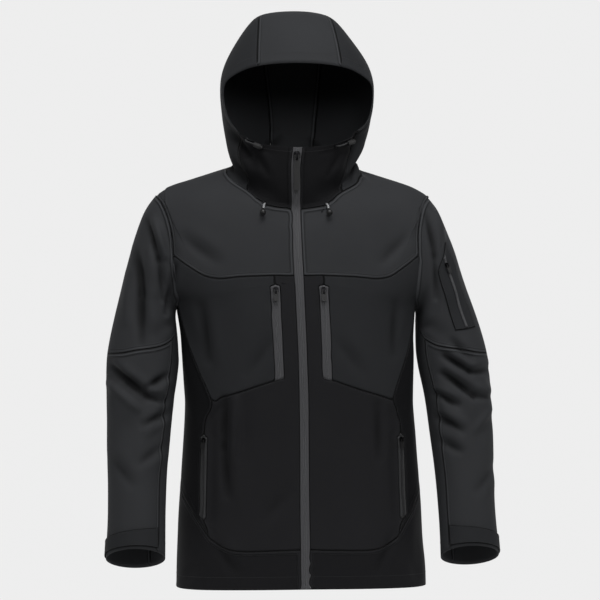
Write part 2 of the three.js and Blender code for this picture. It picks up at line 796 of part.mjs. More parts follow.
// A panel and its mirror image, each a part of its own. holes are solids cut out of it.
function addPair(name, grids, material, options = {}) {
  for (const [side, sign] of Object.entries(SIDES)) {
    const own = sign > 0 ? grids : grids.map(mirrored);
    const cloth = leaning(wall(own, options.thickness, options.lift));
    const hole = options.hole?.(sign);
    addMesh(`${name}_${side}`, hole ? geometryOf(solidOf(cloth).subtract(hole)) : cloth, material);
  }
}

// One panel that crosses the middle
function addMiddle(name, grids, material, thickness = CLOTH) {
  const both = [...grids, ...grids.map(mirrored)];
  addMesh(name, leaning(wall(both, thickness)), material);
}

// A frame on a grid for hardware: Z out of the cloth, Y toward a second place or else upright.
function seat(grid, place, toward, sign, lift = 0) {
  const { point, normal: z } = pointOn(grid, ...place);
  const y = toward ? pointOn(grid, ...toward).point.sub(point) : new THREE.Vector3(0, 0, 1);
  y.addScaledVector(z, -y.dot(z)).normalize();
  point.addScaledVector(z, lift);
  if (sign < 0) [point, y, z].forEach((v) => v.setX(-v.x));
  point.x += read(LEAN, "x", point.z);
  const x = y.clone().cross(z);
  return new THREE.Matrix4().makeBasis(x, y, z).setPosition(point);
}

// The neck cords come out through a hole in the neck seam and hang over the yoke.
const NECK_CORD_COLUMN = 2.25;
const NECK_CORD_RADIUS = 1.75;
const NECK_HOLE_RADIUS = 2.45;
const BELL = { length: 11, topRadius: 2.8, footRadius: 5.4, tilt: 22 };
const NECK_CORD_PATH = [
  [0, 15, -7.5],
  [0, 5.5, -7],
  [0, 0.6, -3.5],
  [0, -0.6, 1.6],
  [0, -4.4, 7.2],
  [0, -12.2, 11],
];
const neckCordSeat = (sign) =>
  seat(frontYoke, [NECK_CORD_COLUMN, frontYoke[0].length - 1], null, sign);
const neckHole = (sign) => {
  const punch = new THREE.CylinderGeometry(NECK_HOLE_RADIUS, NECK_HOLE_RADIUS, 9, 14);
  punch.rotateX(Math.PI / 2).applyMatrix4(neckCordSeat(sign));
  return solidOf(punch);
};

function tube(points, radius, steps, sides = 8) {
  const outline = new THREE.Shape().absarc(0, 0, radius, 0, 2 * Math.PI);
  return new THREE.ExtrudeGeometry(outline, {
    steps,
    curveSegments: sides,
    extrudePath: new THREE.CatmullRomCurve3(points, false, "centripetal"),
  });
}

addPair("front_yoke", [frontYoke], "cloth", { hole: neckHole });
addPair("chest_panel", [chest], "cloth");
addPair("front_panel", [frontStrip, frontLower], "cloth");
addPair("side_panel", [sidePanel], "cloth");
addPair("hem_panel", [hemPanel], "cloth");
addMiddle("back_yoke", [backYoke], "cloth");
addMiddle("back_panel", [backPanel], "cloth");
addMiddle("back_hem", [backHem], "cloth");
addPair("collar", [collar], "cloth", { hole: neckHole });
addPair("hood_side", [hoodSide], "cloth");
addMiddle("hood_crown", [hoodCrown], "cloth");
addPair("upper_sleeve", [upperSleeve], "cloth");
addPair("fore_sleeve", [foreSleeve], "cloth");
addPair("under_sleeve", [underSleeve], "cloth");
addPair("cuff_tab", [cuffTab], "cloth", { lift: LAID_ON_GAP + CLOTH });
addMiddle("main_zip", frontBand, "tape");
addPair("chest_zip", [chestBand], "tape");
addPair("pocket_zip", [pocketBand], "tape");
addMesh(
  "sleeve_pocket",
  leaning(wall([sleevePocket], PATCH_CLOTH, LAID_ON_GAP + PATCH_CLOTH)),
  "cloth",
);
addMesh("sleeve_zip", leaning(wall([sleeveBand], TAPE, SLEEVE_BAND_LIFT)), "tape");

for (const [side, sign] of Object.entries(SIDES)) {
  const frame = neckCordSeat(sign);
  const path = NECK_CORD_PATH.map((p) => new THREE.Vector3(...p).applyMatrix4(frame));
  addMesh(`neck_cord_${side}`, tube(path, NECK_CORD_RADIUS, 12), "cord");
  const { length, topRadius, footRadius, tilt } = BELL;
  const bell = new THREE.LatheGeometry(
    [
      [0, 0],
      [topRadius, 0],
      [footRadius, -length * 0.6],
      [footRadius, -length * 0.85],
      [footRadius - 1.2, -length],
      [0, -length],
    ].map(([r, y]) => new THREE.Vector2(r, y)).reverse(),
    12,
  );
  const [, y, z] = NECK_CORD_PATH.at(-1);
  bell.translate(0, -SEAM_GAP, 0).rotateX(-radians(tilt)).translate(0, y, z).applyMatrix4(frame);
  addMesh(`cord_bell_${side}`, bell, "rubber");
}

// A zip's slider carries a bridge, and the pull tab's ring goes round the bridge's bar.
const SLIDER = { width: 8.6, length: 10.5, height: 2.2, corner: 2.2 };
const BRIDGE = { width: 2.4, halfLength: 4.4, leg: 1.2, clear: 2.9, bar: 1.2 };
const RING = { hole: 3.4, arm: 1.5, bar: 1.6, holeLength: 5.4, thickness: 1.6 };
const hingeHeight = (scale) => SEAM_GAP + (SLIDER.height + BRIDGE.clear / 2) * scale;

function extruded(shape, depth, steps = 6) {
  return new THREE.ExtrudeGeometry(shape, { depth, bevelEnabled: false, curveSegments: steps });
}

function polygon(points) {
  return new THREE.Shape(points.map(([x, y]) => new THREE.Vector2(x, y)));
}

function sliderGeometry(scale) {
  const { width, length, height, corner } = SLIDER;
  const w = width / 2;
  const l = length / 2;
  const plate = extruded(
    polygon([
      [-w + corner, -l],
      [w - corner, -l],
      [w, -l + corner],
      [w, l - corner],
      [w - corner, l],
      [-w + corner, l],
      [-w, l - corner],
      [-w, -l + corner],
    ]),
    height * scale,
  );
  const b = BRIDGE.halfLength;
  const inner = b - BRIDGE.leg;
  const top = BRIDGE.clear + BRIDGE.bar;
  const bridge = extruded(
    polygon([
      [-b, -0.4],
      [-inner, -0.4],
      [-inner, BRIDGE.clear],
      [inner, BRIDGE.clear],
      [inner, -0.4],
      [b, -0.4],
      [b, top - 1],
      [b - 1, top],
      [1 - b, top],
      [-b, top - 1],
    ]),
    BRIDGE.width,
  );
  plate.scale(scale, scale, 1);
  bridge.translate(0, 0, -BRIDGE.width / 2).applyMatrix4(
    new THREE.Matrix4().makeBasis(
      new THREE.Vector3(0, 1, 0),
      new THREE.Vector3(0, 0, 1),
      new THREE.Vector3(1, 0, 0),
    ),
  );
  bridge.translate(0, 0, height).scale(scale, scale, scale);
  return geometryOf(solidOf(plate).add(solidOf(bridge))).translate(0, 0, SEAM_GAP);
}

// The pull tab hangs down -Y from the hinge, its ring round the bar at the top.
function pullGeometry(scale, length, width) {
  const ring = RING.hole / 2 + RING.arm;
  const bar = RING.bar / 2;
  const hole = [-bar, -bar - RING.holeLength];
  const shoulderY = hole[1] - RING.arm;
  const w = width / scale / 2;
  const foot = -length / scale;
  const outline = polygon([
    [-ring + 0.5, bar],
    [ring - 0.5, bar],
    [ring, bar - 0.5],
    [ring, hole[1] + 0.8],
    [w, shoulderY - 1],
    [w, foot + 1.6],
    [w - 1.6, foot],
    [1.6 - w, foot],
    [-w, foot + 1.6],
    [-w, shoulderY - 1],
    [-ring, hole[1] + 0.8],
    [-ring, bar - 0.5],
  ]);
  const half = RING.hole / 2;
  outline.holes.push(
    polygon([
      [-half, hole[0]],
      [-half, hole[1]],
      [half, hole[1]],
      [half, hole[0]],
    ]),
  );
  const tab = extruded(outline, RING.thickness).translate(0, 0, -RING.thickness / 2);
  return tab.scale(scale, scale, scale).translate(0, 0, hingeHeight(scale));
}

const ZIPS = rows("name grid column row lift scale length width sides", [
  ["main", frontBand[1], 0, 6.1, 0, 1.4, 60, 10.5, "middle"],
  ["chest", chestBand, 1, 3.75, 0, 1.1, 19, 9, "both"],
  ["pocket", pocketBand, 1, 2.8, 0.3, 0.85, 15, 7.5, "both"],
  ["sleeve", sleeveBand, 1, 3.45, SLEEVE_BAND_LIFT, 0.85, 15, 7.5, "middle"],
]);
const ZIP_SIDES = { middle: [["", 1]], both: [["_left", 1], ["_right", -1]] };
for (const zip of ZIPS) {
  for (const [suffix, sign] of ZIP_SIDES[zip.sides]) {
    const place = [zip.column, zip.row];
    const toward = [zip.column, zip.row + 0.15];
    const frame = seat(zip.grid, place, toward, sign, zip.lift);
    const slider = sliderGeometry(zip.scale).applyMatrix4(frame);
    const pull = pullGeometry(zip.scale, zip.length, zip.width).applyMatrix4(frame);
    addMesh(`${zip.name}_slider${suffix}`, slider, "metal");
    addMesh(`${zip.name}_pull${suffix}`, pull, "metal");
  }
}

// The hood's drawcord comes out of an eyelet by the face opening and runs to a cord lock.
const EYELET = { outer: 4.2, hole: 2.2, height: 1.3, lift: 0.9 };
const LOCK = { radius: 4.4, length: 14, buttonRadius: 3, button: 3 };
const HOOD_CORD_RADIUS = 1.3;
const LOCKS = rows("side sign eyeletColumn eyeletRow lockColumn lockRow", [
  ["left", 1, 2, 7.7, 3, 7.4],
  ["right", -1, 3, 8.2, 2, 7.7],
]);
for (const lock of LOCKS) {
  const upward = (i, j) => seat(collar, [i, j], [i, j + 0.2], lock.sign);
  const eyeletSeat = upward(lock.eyeletColumn, lock.eyeletRow);
  const lockSeat = upward(lock.lockColumn, lock.lockRow);
  const { outer, hole, height } = EYELET;
  const eyelet = new THREE.LatheGeometry(
    [
      [hole, 0],
      [outer, 0],
      [outer - 0.5, height],
      [hole + 0.4, height],
      [hole, 0],
    ].map(([r, y]) => new THREE.Vector2(r, y)),
    14,
  );
  eyelet.rotateX(Math.PI / 2).translate(0, 0, EYELET.lift).applyMatrix4(eyeletSeat);
  addMesh(`hood_eyelet_${lock.side}`, eyelet, "metal");

  const stand = LAID_ON_GAP + LOCK.radius;
  const lockCentre = new THREE.Vector3(0, 0, stand).applyMatrix4(lockSeat);
  const eyeletTop = new THREE.Vector3(0, 0, stand).applyMatrix4(eyeletSeat);
  const way = lockCentre.clone().sub(eyeletTop).normalize();
  const barrel = new THREE.CylinderGeometry(LOCK.radius, LOCK.radius, LOCK.length, 12);
  const button = new THREE.CylinderGeometry(LOCK.buttonRadius, LOCK.buttonRadius, LOCK.button, 10);
  button.translate(0, LOCK.length / 2 + LOCK.button / 2 - 0.5, 0);
  const turned = new THREE.Quaternion().setFromUnitVectors(new THREE.Vector3(0, 1, 0), way);
  const lockBody = geometryOf(solidOf(barrel).add(solidOf(button)));
  lockBody.applyQuaternion(turned).translate(...lockCentre.toArray());
  addMesh(`cord_lock_${lock.side}`, lockBody, "rubber");

  const start = new THREE.Vector3(0, 0, 0.9).applyMatrix4(eyeletSeat);
  const neck = new THREE.Vector3(0, 0, 2.6).applyMatrix4(eyeletSeat);
  const rise = eyeletTop.clone().addScaledVector(way, 1.8);
  const end = lockCentre.clone().addScaledVector(way, -LOCK.length / 2 - SEAM_GAP);
  const before = end.clone().addScaledVector(way, -4);
  const cordGeometry = tube([start, neck, rise, before, end], HOOD_CORD_RADIUS, 9);
  addMesh(`hood_cord_${lock.side}`, cordGeometry, "cord");
}

export default group;
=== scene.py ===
"""A hooded softshell jacket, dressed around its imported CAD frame. Runs in Blender 4.5.

The frame is in metres, +Z up, with the front towards -Y. Sizes here are in millimetres unless a
name says otherwise.
"""

import json
import math
from types import SimpleNamespace

import bmesh
import bpy
import numpy as np
from bpy.props import FloatProperty, FloatVectorProperty, IntProperty, PointerProperty
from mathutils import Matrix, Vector, noise
from mathutils.bvhtree import BVHTree
from mathutils.kdtree import KDTree

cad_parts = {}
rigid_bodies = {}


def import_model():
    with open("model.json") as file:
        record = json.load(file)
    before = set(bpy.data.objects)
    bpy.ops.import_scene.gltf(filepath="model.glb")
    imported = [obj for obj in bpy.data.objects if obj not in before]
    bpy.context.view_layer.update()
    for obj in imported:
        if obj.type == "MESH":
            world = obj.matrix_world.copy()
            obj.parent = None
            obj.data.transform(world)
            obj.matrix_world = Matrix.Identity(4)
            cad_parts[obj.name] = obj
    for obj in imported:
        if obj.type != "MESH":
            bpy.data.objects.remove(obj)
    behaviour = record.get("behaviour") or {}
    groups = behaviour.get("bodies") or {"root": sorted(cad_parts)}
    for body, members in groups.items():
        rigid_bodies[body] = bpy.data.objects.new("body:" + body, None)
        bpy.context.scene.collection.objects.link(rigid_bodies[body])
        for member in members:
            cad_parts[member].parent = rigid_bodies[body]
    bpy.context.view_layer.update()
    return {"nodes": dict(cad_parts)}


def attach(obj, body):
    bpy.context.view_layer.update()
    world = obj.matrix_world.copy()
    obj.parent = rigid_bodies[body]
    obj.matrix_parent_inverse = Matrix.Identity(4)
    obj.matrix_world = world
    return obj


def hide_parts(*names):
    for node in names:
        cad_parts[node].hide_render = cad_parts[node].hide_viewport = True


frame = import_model()

bl_info = {
    "name": "Softshell jacket",
    "version": (1, 0, 0),
    "blender": (4, 5, 0),
    "location": "View3D > Sidebar > Jacket",
    "description": "Builds the cloth, zips, stitching and cords of a hooded softshell jacket",
    "category": "Object",
}

MM = 0.001
BODY = "jacket"
SIDES = ("left", "right")
# Colours of the materials, as sRGB hex. CHARCOAL is the cloth; the four darker charcoals after it
# are the same cloth with painted shade, for panels that lie in shade.
CHARCOAL = "2E2F31"
CHARCOAL_FRONT_PAINTED_SHADE = "1C1C1E"
CHARCOAL_CHEST_PAINTED_SHADE = "252628"
CHARCOAL_HEM_PAINTED_SHADE = "151517"
CHARCOAL_DEEP_PAINTED_SHADE = "0E0E10"
TAPE_GREY = "3A3B3D"
COIL_GREY = "515254"
THREAD_BLACK = "1D1E20"
CORD_GREY = "8D8E90"
MOULDED_BLACK = "0E0E0F"
METAL_BLACK = "1C1C1E"
PAPER = "EFEFEF"
PAPER_BASE = "101010"
SHEEN_GREY = "8A8C90"
SKY_WHITE = "FFFFFF"


def rows(names, values):
    """A table as a list of records, one for each row."""
    return [SimpleNamespace(**dict(zip(names.split(), row))) for row in values]


# Each panel: its CAD node, which core it goes round, its cloth, how many rows of stitches follow its
# seams, how far in its hem is stitched, and the width, length and area of its cut in metres. Every
# cloth but plain has the plain charcoal's colour darkened with painted shade, for panels in shade.
PANELS = rows(
    "node core weave seam_rows hem width length area",
    [
        ("front_yoke", "body", "plain", 2, 0, 0.25, 0.22, 0.039),
        ("chest_panel", "body", "chest", 0, 0, 0.2, 0.25, 0.034),
        ("front_panel", "body", "ripstop_painted_shade", 0, 0, 0.19, 0.48, 0.051),
        ("side_panel", "body", "deep", 1, 0, 0.19, 0.41, 0.042),
        ("hem_panel", "body", "hem", 2, 22, 0.33, 0.21, 0.039),
        ("back_yoke", "body", "plain", 2, 0, 0.54, 0.21, 0.085),
        ("back_panel", "body", "plain", 0, 0, 0.5, 0.42, 0.169),
        ("back_hem", "body", "plain", 1, 22, 0.48, 0.22, 0.087),
        ("collar", "hood", "deep", 1, 8, 0.12, 0.14, 0.0103),
        ("hood_side", "hood", "chest", 0, 20, 0.28, 0.36, 0.055),
        ("hood_crown", "hood", "plain", 2, 20, 0.16, 0.5, 0.053),
        ("upper_sleeve", "sleeve", "plain", 1, 0, 0.42, 0.28, 0.074),
        ("fore_sleeve", "sleeve", "plain", 2, 24, 0.29, 0.4, 0.0915),
        ("under_sleeve", "sleeve", "plain", 0, 24, 0.11, 0.46, 0.0395),
    ],
)
MIDDLE_PANELS = ("back_yoke", "back_panel", "back_hem", "hood_crown")

# What is laid on a panel: its CAD node, the panel, what it goes round, its lift over the panel, its
# thickness, and the width and length of its cut in metres
PATCHES = rows(
    "node panel core lift thickness width length",
    [
        ("cuff_tab_left", "fore_sleeve_left", "sleeve", 2.4, 1.8, 0.14, 0.034),
        ("cuff_tab_right", "fore_sleeve_right", "sleeve", 2.4, 1.8, 0.14, 0.034),
        ("sleeve_pocket", "upper_sleeve_left", "sleeve", 1.6, 1.0, 0.046, 0.152),
    ],
)

# The axes that the surfaces go round, each from one end to the other, for the +X side
CORES = {
    "body": ((-10, 0, -700), (-12, 0, -150)),
    "hood": ((-14, 0, -40), (-9, -20, 150)),
    "sleeve": ((240, 5, -150), (284, -75, -690)),
}
RIGHT_SLEEVE_SHIFT_M = 0.02

# Creases on the cloth: the line they follow seen from the front or the back, the side they lie
# on (-1 front, 1 back), how deep (a trough is negative) and how wide they are. All depths are
# multiplied by the gain and all widths by the width factor. A trough has a ridge beside it.
CREASE_GAIN = 2.0
CREASE_WIDTH = 0.8
CREASE_END_SHARE = 0.55
CREASE_MIDDLE_SHARE = 0.45
RIDGE_OFFSET = 1.9
RIDGE_WIDTH = 1.3
RIDGE_SHARE = 0.4
FACING_START = 0.1
FACING_RANGE = 0.4
CREASES = rows(
    "x1 z1 x2 z2 side depth width",
    [
        # the wearer's right upper arm
        (-271, -90, -250, -156, -1, -4.5, 9),
        (-250, -156, -242, -225, -1, -3.5, 8),
        (-256, -92, -238, -150, -1, 3.5, 8),
        (-289, -147, -280, -215, -1, -5, 13),
        (-280, -215, -277, -300, -1, -3.5, 12),
        (-300, -180, -305, -262, -1, 3, 12),
        (-222, -170, -236, -250, -1, -3, 7),
        # and its elbow
        (-330, -345, -268, -392, -1, -5.5, 9),
        (-268, -392, -242, -402, -1, -3.5, 8),
        (-336, -372, -285, -414, -1, 3.5, 8),
        (-238, -360, -268, -378, -1, -4.5, 8),
        (-238, -425, -275, -440, -1, -3.5, 9),
        (-244, -480, -280, -505, -1, -2.5, 10),
        (-330, -500, -296, -540, -1, -2.2, 12),
        # the wearer's left upper arm
        (222, -80, 231, -150, -1, -4, 8),
        (231, -150, 234, -222, -1, -3, 8),
        (238, -74, 250, -120, -1, 2.5, 8),
        (262, -300, 292, -330, -1, -3, 9),
        # and its elbow
        (248, -325, 292, -352, -1, -5, 8),
        (292, -352, 330, -350, -1, -3.5, 8),
        (246, -356, 300, -392, -1, -5.5, 9),
        (300, -392, 334, -398, -1, -3, 8),
        (236, -392, 268, -408, -1, -4.5, 8),
        (238, -432, 276, -452, -1, -4, 9),
        (242, -472, 272, -488, -1, -3, 9),
        (330, -420, 300, -452, -1, 2.5, 9),
        (334, -520, 300, -556, -1, -2, 11),
        # the front of the body
        (-136, -400, -138, -480, -1, -3.5, 11),
        (-138, -480, -132, -560, -1, -3, 10),
        (-118, -400, -122, -500, -1, 2.2, 12),
        (128, -410, 132, -500, -1, -2.6, 11),
        (-176, -240, -165, -330, -1, -3, 12),
        (160, -235, 158, -320, -1, -2.6, 12),
        (-60, -300, -96, -352, -1, -1.6, 14),
        (60, -300, 98, -348, -1, -1.6, 14),
        (-150, -650, -120, -690, -1, -2.2, 12),
        (150, -640, 128, -690, -1, -2.2, 12),
        (-30, -560, -70, -600, -1, -1.4, 16),
        (-205, -120, -150, -160, -1, -2.4, 13),
        (178, -118, 136, -160, -1, -2.2, 13),
        # the sides of the collar and the cheeks of the hood
        (-124, 66, -96, 22, -1, -4.2, 8),
        (-112, 44, -92, -2, -1, 2.6, 7),
        (-118, 12, -98, -20, -1, -3.2, 7),
        (-84, 30, -64, -10, -1, -2.2, 7),
        (108, 88, 88, 40, -1, -4.2, 8),
        (98, 48, 78, 6, -1, -3.4, 8),
        (104, 20, 90, -14, -1, 2.2, 7),
        (60, 22, 44, -12, -1, -2.2, 7),
        # the back, where they show least
        (-150, -170, -172, -260, 1, -3.5, 16),
        (140, -168, 158, -250, 1, -3.5, 16),
        (-90, -330, -20, -350, 1, -3.5, 18),
        (80, -352, 20, -372, 1, -3, 18),
        (-120, -430, -60, -460, 1, -2.6, 18),
        (110, -450, 40, -470, 1, -2.6, 18),
        (-40, -560, -60, -660, 1, -2, 20),
        (60, -580, 74, -670, 1, -2, 20),
        (-60, 40, -30, 70, 1, -3, 10),
        (50, 36, 24, 66, 1, -3, 10),
        (-262, -110, -250, -190, 1, -4, 12),
        (236, -112, 232, -188, 1, -4, 12),
        (-300, -330, -252, -360, 1, -5, 11),
        (-322, -370, -262, -396, 1, -4.5, 11),
        (298, -322, 252, -352, 1, -5, 11),
        (324, -366, 262, -392, 1, -4.5, 11),
        (-318, -450, -274, -480, 1, -3, 13),
        (318, -462, 274, -490, 1, -3, 13),
    ],
)

# Zips: the CAD node of the band, what it goes round, the finishes of its tape and of its coil, and
# the width and pitch of the coil
ZIPS = rows(
    "node core tape coil_finish coil pitch",
    [
        ("main_zip", "body", "zip_tape", "zip_coil", 5.4, 1.5),
        ("chest_zip_left", "body", "zip_tape", "zip_coil", 4.6, 1.3),
        ("chest_zip_right", "body", "zip_tape", "zip_coil", 4.6, 1.3),
        ("pocket_zip_left", "body", "thread", "moulded_plastic", 3.6, 1.2),
        ("pocket_zip_right", "body", "thread", "moulded_plastic", 3.6, 1.2),
        ("sleeve_zip", "sleeve", "zip_tape", "zip_coil", 3.8, 1.2),
    ],
)

# Points of the drawcords in metres: the free ends at the neck, which mirror each other, and the
# short runs at the hood
NECK_MIDDLE_M = -0.013895
NECK_CORD_LEFT = [
    (0.03684, -0.07928, -0.04844),
    (0.03746, -0.08201, -0.05754),
    (0.03847, -0.08648, -0.06144),
    (0.03963, -0.09159, -0.06136),
    (0.04103, -0.09779, -0.06368),
    (0.04226, -0.10324, -0.07032),
]
NECK_CORDS = {
    "left": NECK_CORD_LEFT,
    "right": [(round(2 * NECK_MIDDLE_M - x, 5), y, z) for x, y, z in NECK_CORD_LEFT],
}
NECK_CORD_DIAMETER = 3.5
HOOD_CORDS = {
    "left": [
        (0.0560, -0.1004, 0.0381),
        (0.0568, -0.1018, 0.0377),
        (0.0594, -0.1030, 0.0377),
        (0.0725, -0.0948, 0.0422),
        (0.0758, -0.0928, 0.0433),
    ],
    "right": [
        (-0.0985, -0.0890, 0.0492),
        (-0.0996, -0.0901, 0.0486),
        (-0.0997, -0.0925, 0.0469),
        (-0.0891, -0.0987, 0.0416),
        (-0.0859, -0.1005, 0.0401),
    ],
}
HOOD_CORD_DIAMETER = 2.6

# CAD nodes that keep their own mesh and get a finish
ZIP_PARTS = (
    "main_{}",
    "chest_{}_left",
    "chest_{}_right",
    "pocket_{}_left",
    "pocket_{}_right",
    "sleeve_{}",
)
METAL_NODES = [part.format("slider") for part in ZIP_PARTS]
METAL_NODES += ["hood_eyelet_" + side for side in SIDES]
MOULDED_NODES = [part.format("pull") for part in ZIP_PARTS]
MOULDED_NODES += [kind + side for kind in ("cord_lock_", "cord_bell_") for side in SIDES]

# How the solids are read
WELD_M = 1e-5
RIM_ANGLE = math.radians(52)
QUAD_FACE_ANGLE = math.radians(60)
QUAD_SHAPE_ANGLE = math.radians(170)
FILL_SIDES = 14
GRID_INFLUENCE = 1.3
SEW_REACH = 2.4
SEAM_REACH = 6.0
HOLE_ROUND = 22.0
INTERPOLATION_PASSES = 2
RELAX_STEPS = 36
LAST_RELAX_STEPS = 8
RELAX_SHARE = 0.5
SEAM_SLIT = 0.08
BORDER_STEPS = 4
FAR_OFF = 99.0
PATCH_LEVELS = 4
TAPE_THICKNESS = 1.2
SLEEVE_ZIP_LIFT = 3.4
# Where stitches and coils go, in millimetres or as shares
ON_BORDER = 1.6
OTHER_BORDER_CLEAR = 3.0
ROW_CLEAR_SHARE = 0.86
SHORTEST_ROW = 4
STITCH_LIFT = 0.12
COIL_LIFT = 0.1
COIL_ASIDE = 0.26
CENTRE_STEP = 6
FEWEST_CENTRE_STEPS = 8
FEWEST_CENTRE_POINTS = 3
NOISE_SIZE = 75
NOISE_SEED = Vector((4.3, 9.1, 2.7))


class ClothSettings(bpy.types.PropertyGroup):
    """Sizes of the cloth"""

    thickness: FloatProperty(
        name="Thickness",
        description="Thickness of the bonded cloth in millimetres",
        default=1.5,
        min=0.5,
        max=3.0,
    )
    levels: IntProperty(
        name="Levels",
        description="How often each quad of a solid is divided",
        default=3,
        min=1,
        max=4,
    )
    softness: FloatProperty(
        name="Softness",
        description="Depth of the broad unevenness of the cloth in millimetres",
        default=0.9,
        min=0.0,
        max=4.0,
    )


class SewingSettings(bpy.types.PropertyGroup):
    """Sizes of the stitches and of the zips' coils"""

    pitch: FloatProperty(
        name="Pitch",
        description="Distance from one stitch to the next in millimetres",
        default=3.0,
        min=1.0,
        max=8.0,
    )
    size: FloatVectorProperty(
        name="Stitch",
        description="Length, width and height of a stitch in millimetres",
        default=(2.3, 0.62, 0.42),
    )
    first_row: FloatProperty(
        name="First row",
        description="Distance of the first row of stitches from the seam in millimetres",
        default=1.8,
        min=0.5,
        max=5.0,
    )
    second_row: FloatProperty(
        name="Second row",
        description="Distance of the second row of stitches from the seam in millimetres",
        default=6.4,
        min=2.0,
        max=12.0,
    )
    coil: FloatVectorProperty(
        name="Coil",
        description="Length along the zip and height of one turn of its coil, in millimetres",
        size=2,
        default=(0.95, 0.9),
    )


class StageSettings(bpy.types.PropertyGroup):
    """Camera"""

    distance: FloatProperty(
        name="Distance",
        description="Distance of the camera in metres",
        default=3.2,
        unit="LENGTH",
    )
    azimuth: FloatProperty(
        name="Azimuth",
        description="Angle of the camera from straight ahead in degrees",
        default=-4.0,
    )
    height: FloatProperty(
        name="Height",
        description="Height of the camera and of the point it looks at in metres",
        default=-0.227,
        unit="LENGTH",
    )
    lens: FloatProperty(
        name="Lens",
        description="Focal length of the camera in millimetres",
        default=108.2,
    )


def srgb(code):
    """A hex colour as linear values."""
    parts = [int(code[k : k + 2], 16) / 255 for k in (0, 2, 4)]
    return [p / 12.92 if p <= 0.04045 else ((p + 0.055) / 1.055) ** 2.4 for p in parts] + [1]


def add(tree, kind, settings=None, links=None):
    """Adds a node with its settings, its sockets' values and its links."""
    node = tree.nodes.new(kind)
    for key, value in (settings or {}).items():
        if isinstance(key, str) and hasattr(node, key):
            setattr(node, key, value)
        else:
            node.inputs[key].default_value = value
    for key, source in (links or {}).items():
        tree.links.new(source, node.inputs[key])
    return node


def new_material(name):
    """An empty material with its tree and output."""
    material = bpy.data.materials.new(name)
    material.use_nodes = True
    tree = material.node_tree
    tree.nodes.clear()
    return material, tree, add(tree, "ShaderNodeOutputMaterial")


def mapped(tree, source, value, low, high, to_low, to_high, smooth=True):
    """A value's range turned into another."""
    node = add(
        tree,
        "ShaderNodeMapRange",
        {
            "interpolation_type": "SMOOTHSTEP" if smooth else "LINEAR",
            1: low,
            2: high,
            3: to_low,
            4: to_high,
        },
        {0: source.outputs[value]},
    )
    return node.outputs[0]


def maths(tree, operation, first, second):
    """One sum on two values, each a number or an output."""
    node = add(tree, "ShaderNodeMath", {"operation": operation})
    for k, part in enumerate((first, second)):
        if isinstance(part, (int, float)):
            node.inputs[k].default_value = part
        else:
            tree.links.new(part, node.inputs[k])
    return node.outputs[0]


def grain_of(tree, place, scale, detail):
    """Noise over a place."""
    settings = {"Scale": scale, "Detail": detail}
    return add(tree, "ShaderNodeTexNoise", settings, {"Vector": place}).outputs["Fac"]


def threads_of(tree, place, direction, scale, distortion, detail):
    """Parallel threads or ribs."""
    settings = {
        "bands_direction": direction,
        "Scale": scale,
        "Distortion": distortion,
        "Detail": detail,
    }
    return add(tree, "ShaderNodeTexWave", settings, {"Vector": place}).outputs["Fac"]


def bumped(tree, height, strength, distance, under=None):
    """The normal of a relief, on top of another one if there is one."""
    links = {"Height": height}
    if under:
        links["Normal"] = under
    settings = {"Strength": strength, "Distance": distance}
    return add(tree, "ShaderNodeBump", settings, links).outputs[0]


def scaled(tree, value, factor, offset):
    """A value multiplied and then added to."""
    return maths(tree, "ADD", maths(tree, "MULTIPLY", value, factor), offset)


def tinted(tree, colour, shade):
    """A colour made darker or lighter by a value."""
    settings = {"operation": "SCALE", 0: srgb(colour)[:3]}
    return add(tree, "ShaderNodeVectorMath", settings, {"Scale": shade}).outputs[0]


def shaded(tree, output, settings, links):
    """Ends a material with its surface."""
    shader = add(tree, "ShaderNodeBsdfPrincipled", settings, links)
    tree.links.new(shader.outputs[0], output.inputs[0])


